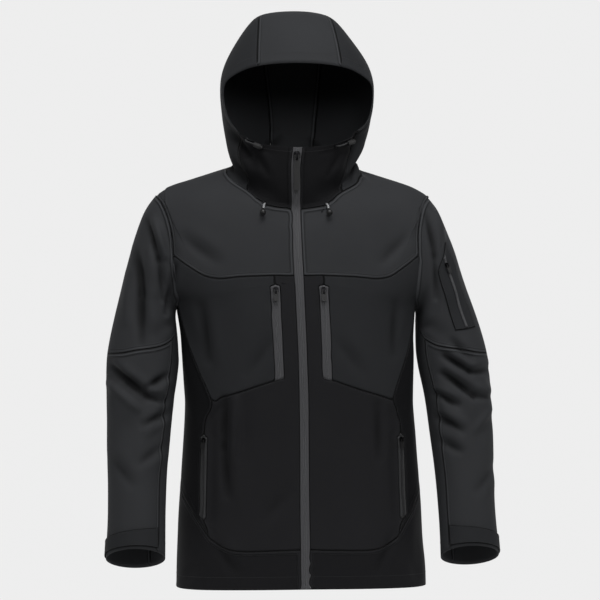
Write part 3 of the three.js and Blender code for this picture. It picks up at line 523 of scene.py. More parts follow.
def softshell(name, colour, weave_depth):
    """Matte bonded softshell cloth: a fine woven face, with seams pressed and stitched down. Shade
    is painted into the seams' grooves, the stitch rows' dips and the creases' troughs, and a
    highlight onto the fells' ridges.
    """
    material, tree, output = new_material(name)
    uv = add(tree, "ShaderNodeUVMap", {"uv_map": "weave"}).outputs[0]
    place = add(tree, "ShaderNodeTexCoord").outputs["Object"]
    seam = add(tree, "ShaderNodeAttribute", {"attribute_name": "seam_mm"})
    fell = add(tree, "ShaderNodeAttribute", {"attribute_name": "fell"}).outputs["Fac"]
    fold = add(tree, "ShaderNodeAttribute", {"attribute_name": "fold_mm"})
    # uv is in millimetres: threads 1.4 mm apart one way and 1.05 mm the other
    across = threads_of(tree, uv, "X", 0.22, 0.6, 1.0)
    along = threads_of(tree, uv, "Y", 0.3, 0.6, 1.0)
    weave = maths(tree, "MAXIMUM", maths(tree, "MULTIPLY", across, 0.7), along)
    nap = grain_of(tree, place, 900.0, 4.0)
    patchy = grain_of(tree, place, 14.0, 3.0)
    # The seam: a groove along the edge, then the fold of the fell and its step down
    groove = mapped(tree, seam, "Fac", 0.2, 1.9, -1.3, 0.0)
    step = mapped(tree, seam, "Fac", 6.4, 8.2, 1.0, 0.0)
    row = mapped(tree, seam, "Fac", 5.0, 6.0, 0.0, -0.5)
    rise = maths(tree, "ADD", step, maths(tree, "MULTIPLY", row, step))
    relief = maths(tree, "ADD", groove, maths(tree, "MULTIPLY", rise, fell))
    seam_bump = bumped(tree, relief, 1.0, 0.0013)
    weave_bump = bumped(tree, weave, 0.55, weave_depth * MM, seam_bump)
    nap_bump = bumped(tree, nap, 0.4, 0.00008, weave_bump)
    # Painted highlight on the pressed ridge of the fell, and painted shade in the dip of the row of
    # stitches beside it
    rising = mapped(tree, seam, "Fac", 1.8, 2.8, 0.0, 0.5)
    falling = mapped(tree, seam, "Fac", 4.2, 5.2, 1.0, 0.0)
    entering = mapped(tree, seam, "Fac", 4.8, 5.8, 0.0, -0.45)
    leaving = mapped(tree, seam, "Fac", 6.4, 7.4, 1.0, 0.0)
    ridge_painted_highlight = maths(tree, "MULTIPLY", rising, falling)
    stitch_row_painted_shade = maths(tree, "MULTIPLY", entering, leaving)
    band = maths(tree, "MULTIPLY", maths(tree, "ADD", ridge_painted_highlight, stitch_row_painted_shade), fell)
    # Painted shade: the colour darkens into the groove along a sewn seam
    edge = mapped(tree, seam, "Fac", 0.2, 2.2, 0.2, 1.0)
    # Painted shade: the colour darkens in the troughs of the creases
    crease_painted_shade = mapped(tree, fold, "Fac", -8.5, -0.5, 0.25, 1.0)
    shade = maths(tree, "MULTIPLY", edge, crease_painted_shade)
    # with the fell's painted highlight and painted shade
    shade = maths(tree, "MULTIPLY", shade, maths(tree, "ADD", band, 1.0))
    shade = maths(tree, "MULTIPLY", shade, scaled(tree, patchy, 0.22, 0.89))
    shade = maths(tree, "MULTIPLY", shade, scaled(tree, weave, 0.18, 0.86))
    settings = {
        "Specular IOR Level": 0.14,
        "Sheen Weight": 0.04,
        "Sheen Roughness": 0.5,
        "Sheen Tint": srgb(SHEEN_GREY),
    }
    links = {
        "Base Color": tinted(tree, colour, shade),
        "Roughness": scaled(tree, nap, 0.16, 0.72),
        "Normal": nap_bump,
    }
    shaded(tree, output, settings, links)
    return material


def knitted(name, colour, rib):
    """Knitted tape, thread or braid: fine ribs on a soft fibre."""
    material, tree, output = new_material(name)
    place = add(tree, "ShaderNodeTexCoord").outputs["Object"]
    ribs = threads_of(tree, place, "DIAGONAL", rib, 1.2, 2.0)
    fibre = grain_of(tree, place, 1500.0, 3.0)
    height = maths(tree, "ADD", ribs, maths(tree, "MULTIPLY", fibre, 0.5))
    links = {
        "Base Color": tinted(tree, colour, scaled(tree, ribs, 0.25, 0.8)),
        "Normal": bumped(tree, height, 0.5, 0.0002),
    }
    shaded(tree, output, {"Roughness": 0.7, "Sheen Weight": 0.1}, links)
    return material


def moulded(name, colour, roughness, metallic=0.0):
    """Moulded plastic or coated metal: even colour, slightly uneven gloss and a fine grain."""
    material, tree, output = new_material(name)
    place = add(tree, "ShaderNodeTexCoord").outputs["Object"]
    links = {
        "Roughness": scaled(tree, grain_of(tree, place, 160.0, 3.0), 0.2, roughness - 0.1),
        "Normal": bumped(tree, grain_of(tree, place, 1200.0, 2.0), 0.25, 0.00005),
    }
    shaded(tree, output, {"Base Color": srgb(colour), "Metallic": metallic}, links)
    return material


def paper(name):
    """Seamless background paper, evenly lit."""
    material, tree, output = new_material(name)
    place = add(tree, "ShaderNodeTexCoord").outputs["Object"]
    settings = {
        "Base Color": srgb(PAPER_BASE),
        "Roughness": 1.0,
        "Specular IOR Level": 0.0,
        "Emission Color": srgb(PAPER),
        "Emission Strength": 0.985,
    }
    relief = bumped(tree, grain_of(tree, place, 300.0, 2.0), 0.1, 0.0001)
    shaded(tree, output, settings, {"Normal": relief})
    return material


# Each finish: what makes it, and the colour and values that it takes
FINISHES = {
    "softshell_plain": (softshell, CHARCOAL, 0.05),
    # The softshells after plain are the plain charcoal darkened in colour: painted shade for panels
    # in shade
    "softshell_deep": (softshell, CHARCOAL_DEEP_PAINTED_SHADE, 0.05),
    "softshell_chest": (softshell, CHARCOAL_CHEST_PAINTED_SHADE, 0.12),
    "softshell_hem": (softshell, CHARCOAL_HEM_PAINTED_SHADE, 0.12),
    "softshell_ripstop": (softshell, CHARCOAL_FRONT_PAINTED_SHADE, 0.12),
    "zip_tape": (knitted, TAPE_GREY, 700.0),
    "zip_coil": (moulded, COIL_GREY, 0.45),
    "thread": (knitted, THREAD_BLACK, 1600.0),
    "drawcord_braid": (knitted, CORD_GREY, 500.0),
    "moulded_plastic": (moulded, MOULDED_BLACK, 0.5),
    "coated_zinc": (moulded, METAL_BLACK, 0.38, 0.85),
    "seamless_paper": (paper,),
}


def material_named(name):
    """A material made once and then found again."""
    if name in bpy.data.materials:
        return bpy.data.materials[name]
    maker, *values = FINISHES[name]
    return maker(name, *values)


def node_mesh(node):
    """A CAD node's solid as a bmesh with its corners joined."""
    solid = bmesh.new()
    solid.from_mesh(frame["nodes"][node].data)
    bmesh.ops.remove_doubles(solid, verts=solid.verts, dist=WELD_M)
    return solid


def core_of(node, core):
    """The two ends of the axis that a node goes round, in metres."""
    low, high = (Vector(end) * MM for end in CORES[core])
    if core == "sleeve" and node.endswith("right"):
        low.x, high.x = -low.x - RIGHT_SLEEVE_SHIFT_M, -high.x
    return low, high


def nearest_on(low, high, point):
    """The point of a segment nearest to a place."""
    way = high - low
    share = (point - low).dot(way) / way.length_squared
    return low + way * min(1.0, max(0.0, share))


def outer_side(node, core):
    """The side of a panel's solid that faces outward, as a mesh of quads."""
    solid = node_mesh(node)
    low, high = core_of(node, core)
    seen = set()
    best, best_score = None, -math.inf
    for start in solid.faces:
        if start in seen:
            continue
        region, waiting = {start}, [start]
        while waiting:
            face = waiting.pop()
            for edge in face.edges:
                if len(edge.link_faces) != 2 or edge.calc_face_angle() > RIM_ANGLE:
                    continue
                for other in edge.link_faces:
                    if other not in region:
                        region.add(other)
                        waiting.append(other)
        seen |= region
        score = 0.0
        for face in region:
            centre = face.calc_center_median()
            score += face.calc_area() * face.normal.dot(centre - nearest_on(low, high, centre))
        if score > best_score:
            best, best_score = region, score
    inner = [face for face in solid.faces if face not in best]
    bmesh.ops.delete(solid, geom=inner, context="FACES")
    bmesh.ops.join_triangles(
        solid,
        faces=solid.faces,
        angle_face_threshold=QUAD_FACE_ANGLE,
        angle_shape_threshold=QUAD_SHAPE_ANGLE,
        topology_influence=GRID_INFLUENCE,
    )
    mesh = bpy.data.meshes.new(node + "_side")
    solid.to_mesh(mesh)
    solid.free()
    return mesh


def coordinates(mesh):
    """A mesh's points as an array."""
    values = np.empty(len(mesh.vertices) * 3)
    mesh.vertices.foreach_get("co", values)
    return values.reshape(-1, 3)


def normals_of(mesh):
    """A mesh's vertex normals as an array."""
    values = np.empty(len(mesh.vertices) * 3)
    mesh.vertex_normals.foreach_get("vector", values)
    return values.reshape(-1, 3)


def evaluated_mesh(obj):
    """A plain mesh of an object with its modifiers in."""
    graph = bpy.context.evaluated_depsgraph_get()
    graph.update()
    return bpy.data.meshes.new_from_object(obj.evaluated_get(graph), depsgraph=graph)


def divided(mesh, levels):
    """The mesh with its faces divided and its form unchanged. Its own corners come first."""
    obj = bpy.data.objects.new("dividing", mesh)
    bpy.context.scene.collection.objects.link(obj)
    divide = obj.modifiers.new("divide", "SUBSURF")
    divide.subdivision_type = "SIMPLE"
    divide.levels = divide.render_levels = levels
    fine = evaluated_mesh(obj)
    bpy.data.objects.remove(obj)
    return fine


def sew(joined, layer):
    """Joins the panels' borders where they meet, also where their corners aren't opposite."""
    border = [vert for vert in joined.verts if vert.is_boundary]
    bmesh.ops.remove_doubles(joined, verts=border, dist=SEW_REACH * MM)
    edges = [edge for edge in joined.edges if edge.is_boundary]
    middles = tree_of([(edge.verts[0].co + edge.verts[1].co) / 2 for edge in edges])
    longest = max(edge.calc_length() for edge in edges)
    splits = {}
    for vert in [vert for vert in joined.verts if vert.is_boundary]:
        for _, number, _ in middles.find_range(vert.co, longest):
            first, last = edges[number].verts
            own = edges[number].link_faces[0][layer]
            if vert in (first, last) or own in [face[layer] for face in vert.link_faces]:
                continue
            share = (vert.co - first.co).dot(last.co - first.co)
            share /= (last.co - first.co).length_squared
            near = first.co.lerp(last.co, share)
            if 0 < share < 1 and (near - vert.co).length < SEAM_REACH * MM:
                splits.setdefault(number, []).append((share, vert))
    welds = {}
    for number, found in splits.items():
        edge, start = edges[number], edges[number].verts[0]
        done = 0.0
        for share, vert in sorted(found, key=lambda pair: pair[0]):
            edge_after, new = bmesh.utils.edge_split(edge, start, (share - done) / (1 - done))
            welds[new] = vert
            edge = edge_after if new in edge_after.verts and start not in edge_after.verts else edge
            start, done = new, share
    bmesh.ops.weld_verts(joined, targetmap=welds)
    edges = [edge for edge in joined.edges if edge.is_boundary]
    openings, patches = [], []
    for face in bmesh.ops.holes_fill(joined, edges=edges, sides=FILL_SIDES)["faces"]:
        around = [
            other[layer] for edge in face.edges for other in edge.link_faces if other != face
        ]
        round_hole = face.calc_perimeter() < HOLE_ROUND * MM
        face[layer] = max(set(around), key=around.count)
        first, second = face.edges[0].link_loops
        if first.vert == second.vert:
            face.normal_flip()
        (openings if round_hole else patches).append(face)
    bmesh.ops.delete(joined, geom=openings, context="FACES_ONLY")
    bmesh.ops.triangulate(joined, faces=patches)


class Skin:
    """All the panels' outer sides sewn into one fine, smooth surface."""

    def __init__(self, nodes, levels):
        self.nodes = nodes
        joined = bmesh.new()
        layer = joined.faces.layers.int.new("panel")
        for number, (node, core) in enumerate(nodes):
            side = outer_side(node, core)
            known = len(joined.faces)
            joined.from_mesh(side)
            joined.faces.ensure_lookup_table()
            for face in joined.faces[known:]:
                face[layer] = number
            bpy.data.meshes.remove(side)
        sew(joined, layer)
        coarse = bpy.data.meshes.new("skin")
        joined.to_mesh(coarse)
        joined.free()
        self.mesh = divided(coarse, levels)
        self.link(self.mesh)
        wanted = coordinates(coarse)
        self.points = self.relaxed(coordinates(self.mesh))
        for _ in range(INTERPOLATION_PASSES):
            missed = wanted - self.points[: len(wanted)]
            coarse.vertices.foreach_set("co", missed.ravel())
            coarse.update()
            spread = divided(coarse, levels)
            self.points += self.relaxed(coordinates(spread))
            bpy.data.meshes.remove(spread)
        self.points = self.relaxed(self.points, LAST_RELAX_STEPS)
        self.mesh.vertices.foreach_set("co", self.points.ravel())
        self.mesh.update()
        self.panel = np.empty(len(self.mesh.polygons), int)
        self.mesh.attributes["panel"].data.foreach_get("value", self.panel)

    def link(self, mesh):
        """Which points pull on which: an open border's points only on each other."""
        edges = np.empty(len(mesh.edges) * 2, int)
        mesh.edges.foreach_get("vertices", edges)
        edges = edges.reshape(-1, 2)
        used = np.empty(len(mesh.loops), int)
        mesh.loops.foreach_get("edge_index", used)
        open_edge = np.bincount(used, minlength=len(edges)) == 1
        self.free = np.zeros(len(mesh.vertices), bool)
        self.free[edges[open_edge].ravel()] = True
        both = np.concatenate([edges, edges[:, ::-1]])
        along = np.concatenate([open_edge, open_edge])
        kept = both[~self.free[both[:, 0]] | along]
        self.puller, self.pulled = kept[:, 1], kept[:, 0]
        self.pulls = np.bincount(self.pulled, minlength=len(mesh.vertices)).clip(1)[:, None]

    def relaxed(self, points, steps=RELAX_STEPS):
        """The points after they have been drawn together, so that facets round off."""
        count = len(points)
        for _ in range(steps):
            mean = np.stack(
                [
                    np.bincount(self.pulled, points[self.puller, axis], count)
                    for axis in range(3)
                ],
                1,
            )
            points = points + RELAX_SHARE * (mean / self.pulls - points)
        return points

    def crease(self, depth):
        """Moves the whole surface in and out by its creases and its softness."""
        normals = normals_of(self.mesh)
        creased = CREASE_GAIN * crease_depth(self.points, normals)
        # The depth of the folds is kept to paint shade into the troughs
        self.fold = creased / MM
        moved = creased + softness(self.points, depth)
        self.points = self.points + normals * moved[:, None]
        self.mesh.vertices.foreach_set("co", self.points.ravel())
        self.mesh.update()

    def panel_mesh(self, number):
        """One panel cut out of the skin, its seams opened by half of their slit."""
        starts = np.empty(len(self.mesh.polygons), int)
        totals = np.empty(len(self.mesh.polygons), int)
        corners = np.empty(len(self.mesh.loops), int)
        self.mesh.polygons.foreach_get("loop_start", starts)
        self.mesh.polygons.foreach_get("loop_total", totals)
        self.mesh.loops.foreach_get("vertex_index", corners)
        faces = [
            corners[starts[k] : starts[k] + totals[k]]
            for k in np.flatnonzero(self.panel == number)
        ]
        used, renumbered = np.unique(np.concatenate(faces), return_inverse=True)
        mesh = bpy.data.meshes.new(self.nodes[number][0])
        sizes = np.cumsum([0] + [len(face) for face in faces])
        local = [renumbered[a:b].tolist() for a, b in zip(sizes, sizes[1:])]
        mesh.from_pydata(self.points[used].tolist(), [], local)
        mesh.update()
        points, normals = coordinates(mesh), normals_of(mesh)
        opened = points.copy()
        for loop in border_loops(mesh):
            for before, here, after in zip(loop[-1:] + loop[:-1], loop, loop[1:] + loop[:1]):
                inward = np.cross(normals[here], points[after] - points[before])
                length = np.linalg.norm(inward)
                if length > 0 and not self.free[used[here]]:
                    opened[here] += inward * (SEAM_SLIT / 2 * MM / length)
        mesh.vertices.foreach_set("co", opened.ravel())
        mesh.update()
        return mesh, used


def border_edges(mesh):
    """The mesh's open edges, each as its two points in the order round its face."""
    solid = bmesh.new()
    solid.from_mesh(mesh)
    loops = [edge.link_loops[0] for edge in solid.edges if edge.is_boundary]
    edges = [(loop.vert.index, loop.link_loop_next.vert.index) for loop in loops]
    solid.free()
    return edges


def border_loops(mesh):
    """The mesh's open borders, each as a list of points in order."""
    following = dict(border_edges(mesh))
    loops = []
    while following:
        start, at = following.popitem()
        loop = [start]
        while at != start and at in following:
            loop.append(at)
            at = following.pop(at)
        loops.append(loop)
    return loops


def tree_of(points):
    """A search tree over points."""
    tree = KDTree(len(points))
    for k, point in enumerate(points):
        tree.insert(point, k)
    tree.balance()
    return tree


def crease_depth(points, normals):
    """How far the creases move each point along its normal."""
    x, z = points[:, 0] / MM, points[:, 2] / MM
    total = np.zeros(len(points))
    for crease in CREASES:
        width = crease.width * CREASE_WIDTH
        along = np.array([crease.x2 - crease.x1, crease.z2 - crease.z1], float)
        length = math.hypot(*along)
        along /= length
        dx, dz = x - crease.x1, z - crease.z1
        share = (dx * along[0] + dz * along[1]) / length
        offset = dz * along[0] - dx * along[1]
        over = np.maximum(np.abs(share - 0.5) - 0.5, 0) * length
        lengthwise = np.exp(-((over / width) ** 2)) * (
            CREASE_END_SHARE
            + CREASE_MIDDLE_SHARE * np.clip(np.sin(np.pi * np.clip(share, 0, 1)), 0, 1)
        )
        main = np.exp(-((offset / width) ** 2))
        beside = np.exp(-(((offset - RIDGE_OFFSET * width) / (RIDGE_WIDTH * width)) ** 2))
        facing = np.clip((crease.side * normals[:, 1] + FACING_START) / FACING_RANGE, 0, 1)
        total += crease.depth * (main - RIDGE_SHARE * beside) * lengthwise * facing
    return total * MM


def softness(points, depth):
    """The broad unevenness of soft cloth."""
    wave = [noise.noise(Vector(p) / (NOISE_SIZE * MM) + NOISE_SEED) for p in points]
    return np.array(wave) * depth * MM


def add_floats(mesh, name, values):
    """Stores one value for each point."""
    attribute = mesh.attributes.new(name, "FLOAT", "POINT")
    attribute.data.foreach_set("value", np.asarray(values, np.float32))


def add_weave_map(mesh):
    """A map in millimetres, laid on each face from the side it faces."""
    mesh.uv_layers.new(name="weave")
    points = coordinates(mesh) / MM
    corners = np.empty(len(mesh.loops), int)
    mesh.loops.foreach_get("vertex_index", corners)
    facing = np.empty(len(mesh.polygons) * 3)
    mesh.polygons.foreach_get("normal", facing)
    totals = np.empty(len(mesh.polygons), int)
    mesh.polygons.foreach_get("loop_total", totals)
    side = np.repeat(np.abs(facing.reshape(-1, 3)).argmax(1), totals)
    at = points[corners]
    u = np.where(side == 0, at[:, 1], at[:, 0])
    v = np.where(side == 2, at[:, 1], at[:, 2])
    mesh.uv_layers["weave"].data.foreach_set("uv", np.stack([u, v], 1).ravel())


def add_object(name, mesh, material):
    """An object at the origin with a mesh and its material."""
    obj = bpy.data.objects.new(name, mesh)
    bpy.context.scene.collection.objects.link(obj)
    mesh.materials.clear()
    mesh.materials.append(material_named(material))
    for polygon in mesh.polygons:
        polygon.use_smooth = True
    return obj


def thickened(obj, thickness):
    """Gives a sheet its thickness, inward from its face."""
    shell = obj.modifiers.new("thickness", "SOLIDIFY")
    shell.thickness = thickness * MM
    shell.offset = -1
    shell.use_even_offset = False


def both_sides():
    """Every panel by its node's full name, with its row of the table."""
    found = []
    for panel in PANELS:
        if panel.node in MIDDLE_PANELS:
            found.append((panel.node, panel))
        else:
            found += [(f"{panel.node}_{side}", panel) for side in SIDES]
    return found


def seam_distances(mesh, wanted):
    """The distance in millimetres of each point from the border points that are wanted."""
    points = coordinates(mesh)
    samples = []
    for a, b in border_edges(mesh):
        if wanted[a] and wanted[b]:
            for k in range(BORDER_STEPS):
                samples.append(points[a] + (points[b] - points[a]) * k / BORDER_STEPS)
    if not samples:
        return np.full(len(points), FAR_OFF)
    tree = tree_of(samples)
    return [tree.find(p)[2] / MM for p in points]


def dressed(obj, node):
    """Lets a piece ride on the jacket and stand for its solid."""
    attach(obj, BODY)
    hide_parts(node)


class JACKET_OT_panels(bpy.types.Operator):
    """Builds every cloth panel and the zip tapes on the body as a thin shell on its solid's form,
    with creases
    """

    bl_idname = "jacket.panels"
    bl_label = "Cloth panels"

    def execute(self, context):
        settings = context.scene.jacket_cloth
        panels = both_sides()
        cores = [(node, panel.core) for node, panel in panels]
        bands = [band for band in ZIPS if band.core == "body"]
        skin = Skin(cores + [(band.node, band.core) for band in bands], settings.levels)
        skin.crease(settings.softness)
        for number, (node, panel) in enumerate(panels):
            mesh, used = skin.panel_mesh(number)
            free = skin.free[used]
            # the fold depth, for the painted shade in the troughs of the creases
            add_floats(mesh, "fold_mm", skin.fold[used])
            add_floats(mesh, "seam_mm", seam_distances(mesh, ~free))
            add_floats(mesh, "edge_mm", seam_distances(mesh, free))
            add_floats(mesh, "fell", np.full(len(free), float(panel.seam_rows > 0)))
            add_weave_map(mesh)
            obj = add_object("shell_" + node, mesh, "softshell_" + panel.weave)
            thickened(obj, settings.thickness)
            dressed(obj, node)
        for number, band in enumerate(bands):
            mesh, _ = skin.panel_mesh(len(panels) + number)
            obj = add_object("tape_" + band.node, mesh, band.tape)
            thickened(obj, TAPE_THICKNESS)
            dressed(obj, band.node)
        return {"FINISHED"}


def laid_on(mesh, panel, lift):
    """Moves a patch onto its panel's face, and up by its lift."""
    surface = bmesh.new()
    surface.from_mesh(bpy.data.objects["shell_" + panel].data)
    search = BVHTree.FromBMesh(surface)
    points = coordinates(mesh)
    for k, point in enumerate(points):
        place, normal, _, _ = search.find_nearest(Vector(point))
        points[k] = place + normal * lift * MM
    surface.free()
    mesh.vertices.foreach_set("co", points.ravel())
    mesh.update()


class JACKET_OT_patches(bpy.types.Operator):
    """Lays the cuff tabs and the sleeve pocket on their panels"""

    bl_idname = "jacket.patches"
    bl_label = "Tabs and sleeve pocket"

    def execute(self, context):
        for patch in PATCHES:
            mesh = divided(outer_side(patch.node, patch.core), PATCH_LEVELS)
            laid_on(mesh, patch.panel, patch.lift)
            everywhere = np.ones(len(mesh.vertices), bool)
            add_floats(mesh, "seam_mm", seam_distances(mesh, everywhere))
            add_floats(mesh, "fell", np.zeros(len(everywhere)))
            add_floats(mesh, "fold_mm", np.zeros(len(everywhere)))
            add_weave_map(mesh)
            obj = add_object("shell_" + patch.node, mesh, "softshell_chest")
            thickened(obj, patch.thickness)
            dressed(obj, patch.node)
        band = divided(outer_side("sleeve_zip", "sleeve"), PATCH_LEVELS)
        laid_on(band, "upper_sleeve_left", SLEEVE_ZIP_LIFT)
        obj = add_object("tape_sleeve_zip", band, "zip_tape")
        thickened(obj, TAPE_THICKNESS)
        dressed(obj, "sleeve_zip")
        return {"FINISHED"}


def path_object(name, lines, normals):
    """A mesh of lines, each point with the direction that is up for it."""
    mesh = bpy.data.meshes.new(name)
    points, edges, ups = [], [], []
    for line, up in zip(lines, normals):
        start = len(points)
        points += [tuple(p) for p in line]
        ups += [tuple(n) for n in up]
        edges += [(start + k, start + k + 1) for k in range(len(line) - 1)]
    mesh.from_pydata(points, edges, [])
    attribute = mesh.attributes.new("up", "FLOAT_VECTOR", "POINT")
    attribute.data.foreach_set("vector", np.array(ups, np.float32).ravel())
    obj = bpy.data.objects.new(name, mesh)
    bpy.context.scene.collection.objects.link(obj)
    return obj


def repeat_tree():
    """Geometry nodes that set one shape after another along lines."""
    name = "repeat_along_lines"
    if name in bpy.data.node_groups:
        return bpy.data.node_groups[name]
    tree = bpy.data.node_groups.new(name, "GeometryNodeTree")
    sockets = (
        ("Geometry", "NodeSocketGeometry"),
        ("Spacing", "NodeSocketFloat"),
        ("Size", "NodeSocketVector"),
        ("Lift", "NodeSocketFloat"),
        ("Round", "NodeSocketBool"),
        ("Material", "NodeSocketMaterial"),
    )
    for socket, kind in sockets:
        tree.interface.new_socket(socket, in_out="INPUT", socket_type=kind)
    tree.interface.new_socket("Geometry", in_out="OUTPUT", socket_type="NodeSocketGeometry")
    given = add(tree, "NodeGroupInput").outputs
    curve = add(tree, "GeometryNodeMeshToCurve", links={"Mesh": given["Geometry"]})
    even = add(
        tree,
        "GeometryNodeResampleCurve",
        {"mode": "LENGTH"},
        {"Curve": curve.outputs[0], "Length": given["Spacing"]},
    )
    up = add(
        tree, "GeometryNodeInputNamedAttribute", {"data_type": "FLOAT_VECTOR", "Name": "up"}
    ).outputs[0]
    tangent = add(tree, "GeometryNodeInputTangent").outputs[0]
    standing = add(tree, "FunctionNodeAlignRotationToVector", {"axis": "Z"}, {"Vector": up})
    turned = add(
        tree,
        "FunctionNodeAlignRotationToVector",
        {"axis": "X", "pivot_axis": "Z"},
        {"Rotation": standing.outputs[0], "Vector": tangent},
    )
    lift = add(
        tree,
        "ShaderNodeVectorMath",
        {"operation": "SCALE"},
        {0: up, "Scale": given["Lift"]},
    )
    placed = add(
        tree,
        "GeometryNodeSetPosition",
        links={"Geometry": even.outputs[0], "Offset": lift.outputs[0]},
    )
    block = add(tree, "GeometryNodeMeshCube")
    bead = add(
        tree, "GeometryNodeMeshUVSphere", {"Segments": 6, "Rings": 4, "Radius": 0.5}
    )
    shape = add(
        tree,
        "GeometryNodeSwitch",
        {"input_type": "GEOMETRY"},
        {"Switch": given["Round"], "False": block.outputs[0], "True": bead.outputs[0]},
    )
    instances = add(
        tree,
        "GeometryNodeInstanceOnPoints",
        links={
            "Points": placed.outputs[0],
            "Instance": shape.outputs[0],
            "Rotation": turned.outputs[0],
            "Scale": given["Size"],
        },
    )
    real = add(tree, "GeometryNodeRealizeInstances", links={0: instances.outputs[0]})
    painted = add(
        tree,
        "GeometryNodeSetMaterial",
        links={"Geometry": real.outputs[0], "Material": given["Material"]},
    )
    add(tree, "NodeGroupOutput", links={0: painted.outputs[0]})
    return tree


def repeated(name, lines, normals, spacing, size, lift, material, round_shape):
    """Builds a repeat along lines and makes it a plain mesh."""
    obj = path_object(name, lines, normals)
    tree = repeat_tree()
    modifier = obj.modifiers.new("repeat", "NODES")
    modifier.node_group = tree
    values = {
        "Spacing": spacing * MM,
        "Size": [s * MM for s in size],
        "Lift": lift * MM,
        "Round": round_shape,
        "Material": material_named(material),
    }
    for item in tree.interface.items_tree:
        if item.in_out == "INPUT" and item.name in values:
            modifier[item.identifier] = values[item.name]
    mesh = evaluated_mesh(obj)
    obj.modifiers.remove(modifier)
    paths = obj.data
    obj.data = mesh
    bpy.data.meshes.remove(paths)
    if not mesh.polygons:
        raise RuntimeError(f"{name} came out empty")
    mesh.materials.clear()
    mesh.materials.append(material_named(material))
    return obj


def stitch_lines(mesh, distance, sewn):
    """Lines at a distance inside a panel's sewn or free borders, with their normals."""
    points, normals = coordinates(mesh), normals_of(mesh)
    seam = np.empty(len(points), np.float32)
    mesh.attributes["seam_mm"].data.foreach_get("value", seam)
    edge = np.empty(len(points), np.float32)
    edge_values = mesh.attributes.get("edge_mm")
    if edge_values:
        edge_values.data.foreach_get("value", edge)
    else:
        edge[:] = FAR_OFF
    own = seam if sewn else edge
    other = edge if sewn else seam
    surface = bmesh.new()
    surface.from_mesh(mesh)
    search = BVHTree.FromBMesh(surface)
    surface.free()
    loops = border_loops(mesh)
    border = tree_of([points[k] for loop in loops for k in loop if own[k] < ON_BORDER])
    lines, ups = [], []
    for loop in loops:
        line, up = [], []
        for before, here, after in zip(loop[-1:] + loop[:-1], loop, loop[1:] + loop[:1]):
            way = Vector(points[after] - points[before])
            normal = Vector(normals[here])
            inward = normal.cross(way).normalized()
            place, face_normal, _, _ = search.find_nearest(
                Vector(points[here]) + inward * distance * MM
            )
            clear = border.find(place)[2] > ROW_CLEAR_SHARE * distance * MM
            if own[here] < ON_BORDER and other[here] > OTHER_BORDER_CLEAR and clear:
                line.append(place)
                up.append(face_normal)
            elif line:
                lines.append(line)
                ups.append(up)
                line, up = [], []
        if line:
            lines.append(line)
            ups.append(up)
    kept = [k for k, line in enumerate(lines) if len(line) > SHORTEST_ROW]
    return [lines[k] for k in kept], [ups[k] for k in kept]


class JACKET_OT_stitching(bpy.types.Operator):
    """Sews the seams, hems, cuffs, tabs and pocket with rows of single stitches"""

    bl_idname = "jacket.stitching"
    bl_label = "Stitching"

    def execute(self, context):
        sewing = context.scene.jacket_sewing
        lines, ups = [], []
        for node, panel in both_sides():
            mesh = bpy.data.objects["shell_" + node].data
            rows_in = [sewing.first_row, sewing.second_row][: panel.seam_rows]
            wanted = [(distance, True) for distance in rows_in]
            if panel.hem:
                wanted.append((panel.hem, False))
            for distance, sewn in wanted:
                found = stitch_lines(mesh, distance, sewn)
                lines += found[0]
                ups += found[1]
        for patch in PATCHES:
            mesh = bpy.data.objects["shell_" + patch.node].data
            found = stitch_lines(mesh, sewing.first_row, True)
            lines += found[0]
            ups += found[1]
        if not lines:
            raise RuntimeError("no seam was found to stitch")
        obj = repeated(
            "stitches", lines, ups, sewing.pitch, sewing.size, STITCH_LIFT, "thread", True
        )
        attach(obj, BODY)
        return {"FINISHED"}


def centre_line(mesh):
    """The middle line of a band, from one end to the other, and its normals."""
    points, normals = coordinates(mesh), normals_of(mesh)
    centre = points.mean(0)
    axis = np.linalg.svd(points - centre, full_matrices=False)[2][0]
    along = (points - centre) @ axis
    steps = max(FEWEST_CENTRE_STEPS, int((along.max() - along.min()) / (CENTRE_STEP * MM)))
    edges = np.linspace(along.min(), along.max() + 1e-9, steps + 1)
    line, up = [], []
    for low, high in zip(edges, edges[1:]):
        inside = (along >= low) & (along < high)
        if inside.sum() < FEWEST_CENTRE_POINTS:
            continue
        near = points[inside]
        middle = (near.min(0) + near.max(0)) / 2
        line.append(middle)
        up.append(normals[inside].mean(0))
    surface = bmesh.new()
    surface.from_mesh(mesh)
    search = BVHTree.FromBMesh(surface)
    surface.free()
    line = [search.find_nearest(Vector(p))[0] for p in line]
    return line, [Vector(n).normalized() for n in up]


class JACKET_OT_zips(bpy.types.Operator):
    """Sets the coils on the zip tapes"""

    bl_idname = "jacket.zips"
    bl_label = "Zip coils"

    def execute(self, context):
        sewing = context.scene.jacket_sewing
        for band in ZIPS:
            mesh = bpy.data.objects["tape_" + band.node].data
            line, up = centre_line(mesh)
            halves = []
            for sign in (-1, 1):
                half = []
                for k, point in enumerate(line):
                    way = line[min(k + 1, len(line) - 1)] - line[max(k - 1, 0)]
                    aside = up[k].cross(way).normalized()
                    half.append(point + aside * sign * band.coil * COIL_ASIDE * MM)
                halves.append(half)
            size = (sewing.coil[0], band.coil / 2, sewing.coil[1])
            name = "coil_" + band.node
            obj = repeated(
                name, halves, [up, up], band.pitch, size, COIL_LIFT, band.coil_finish, True
            )
            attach(obj, BODY)
        return {"FINISHED"}


def cord_curve(name, points, diameter, material):
    """A round cord through points."""
    data = bpy.data.curves.new(name, "CURVE")
    data.dimensions = "3D"
    data.bevel_depth = diameter / 2 * MM
    data.bevel_resolution = 4
    data.use_fill_caps = True
    data.resolution_u = 8
    spline = data.splines.new("BEZIER")
    spline.bezier_points.add(len(points) - 1)
    for handle, point in zip(spline.bezier_points, points):
        handle.co = point
        handle.handle_left_type = handle.handle_right_type = "AUTO"
    obj = bpy.data.objects.new(name, data)
    bpy.context.scene.collection.objects.link(obj)
    data.materials.append(material_named(material))
    return obj


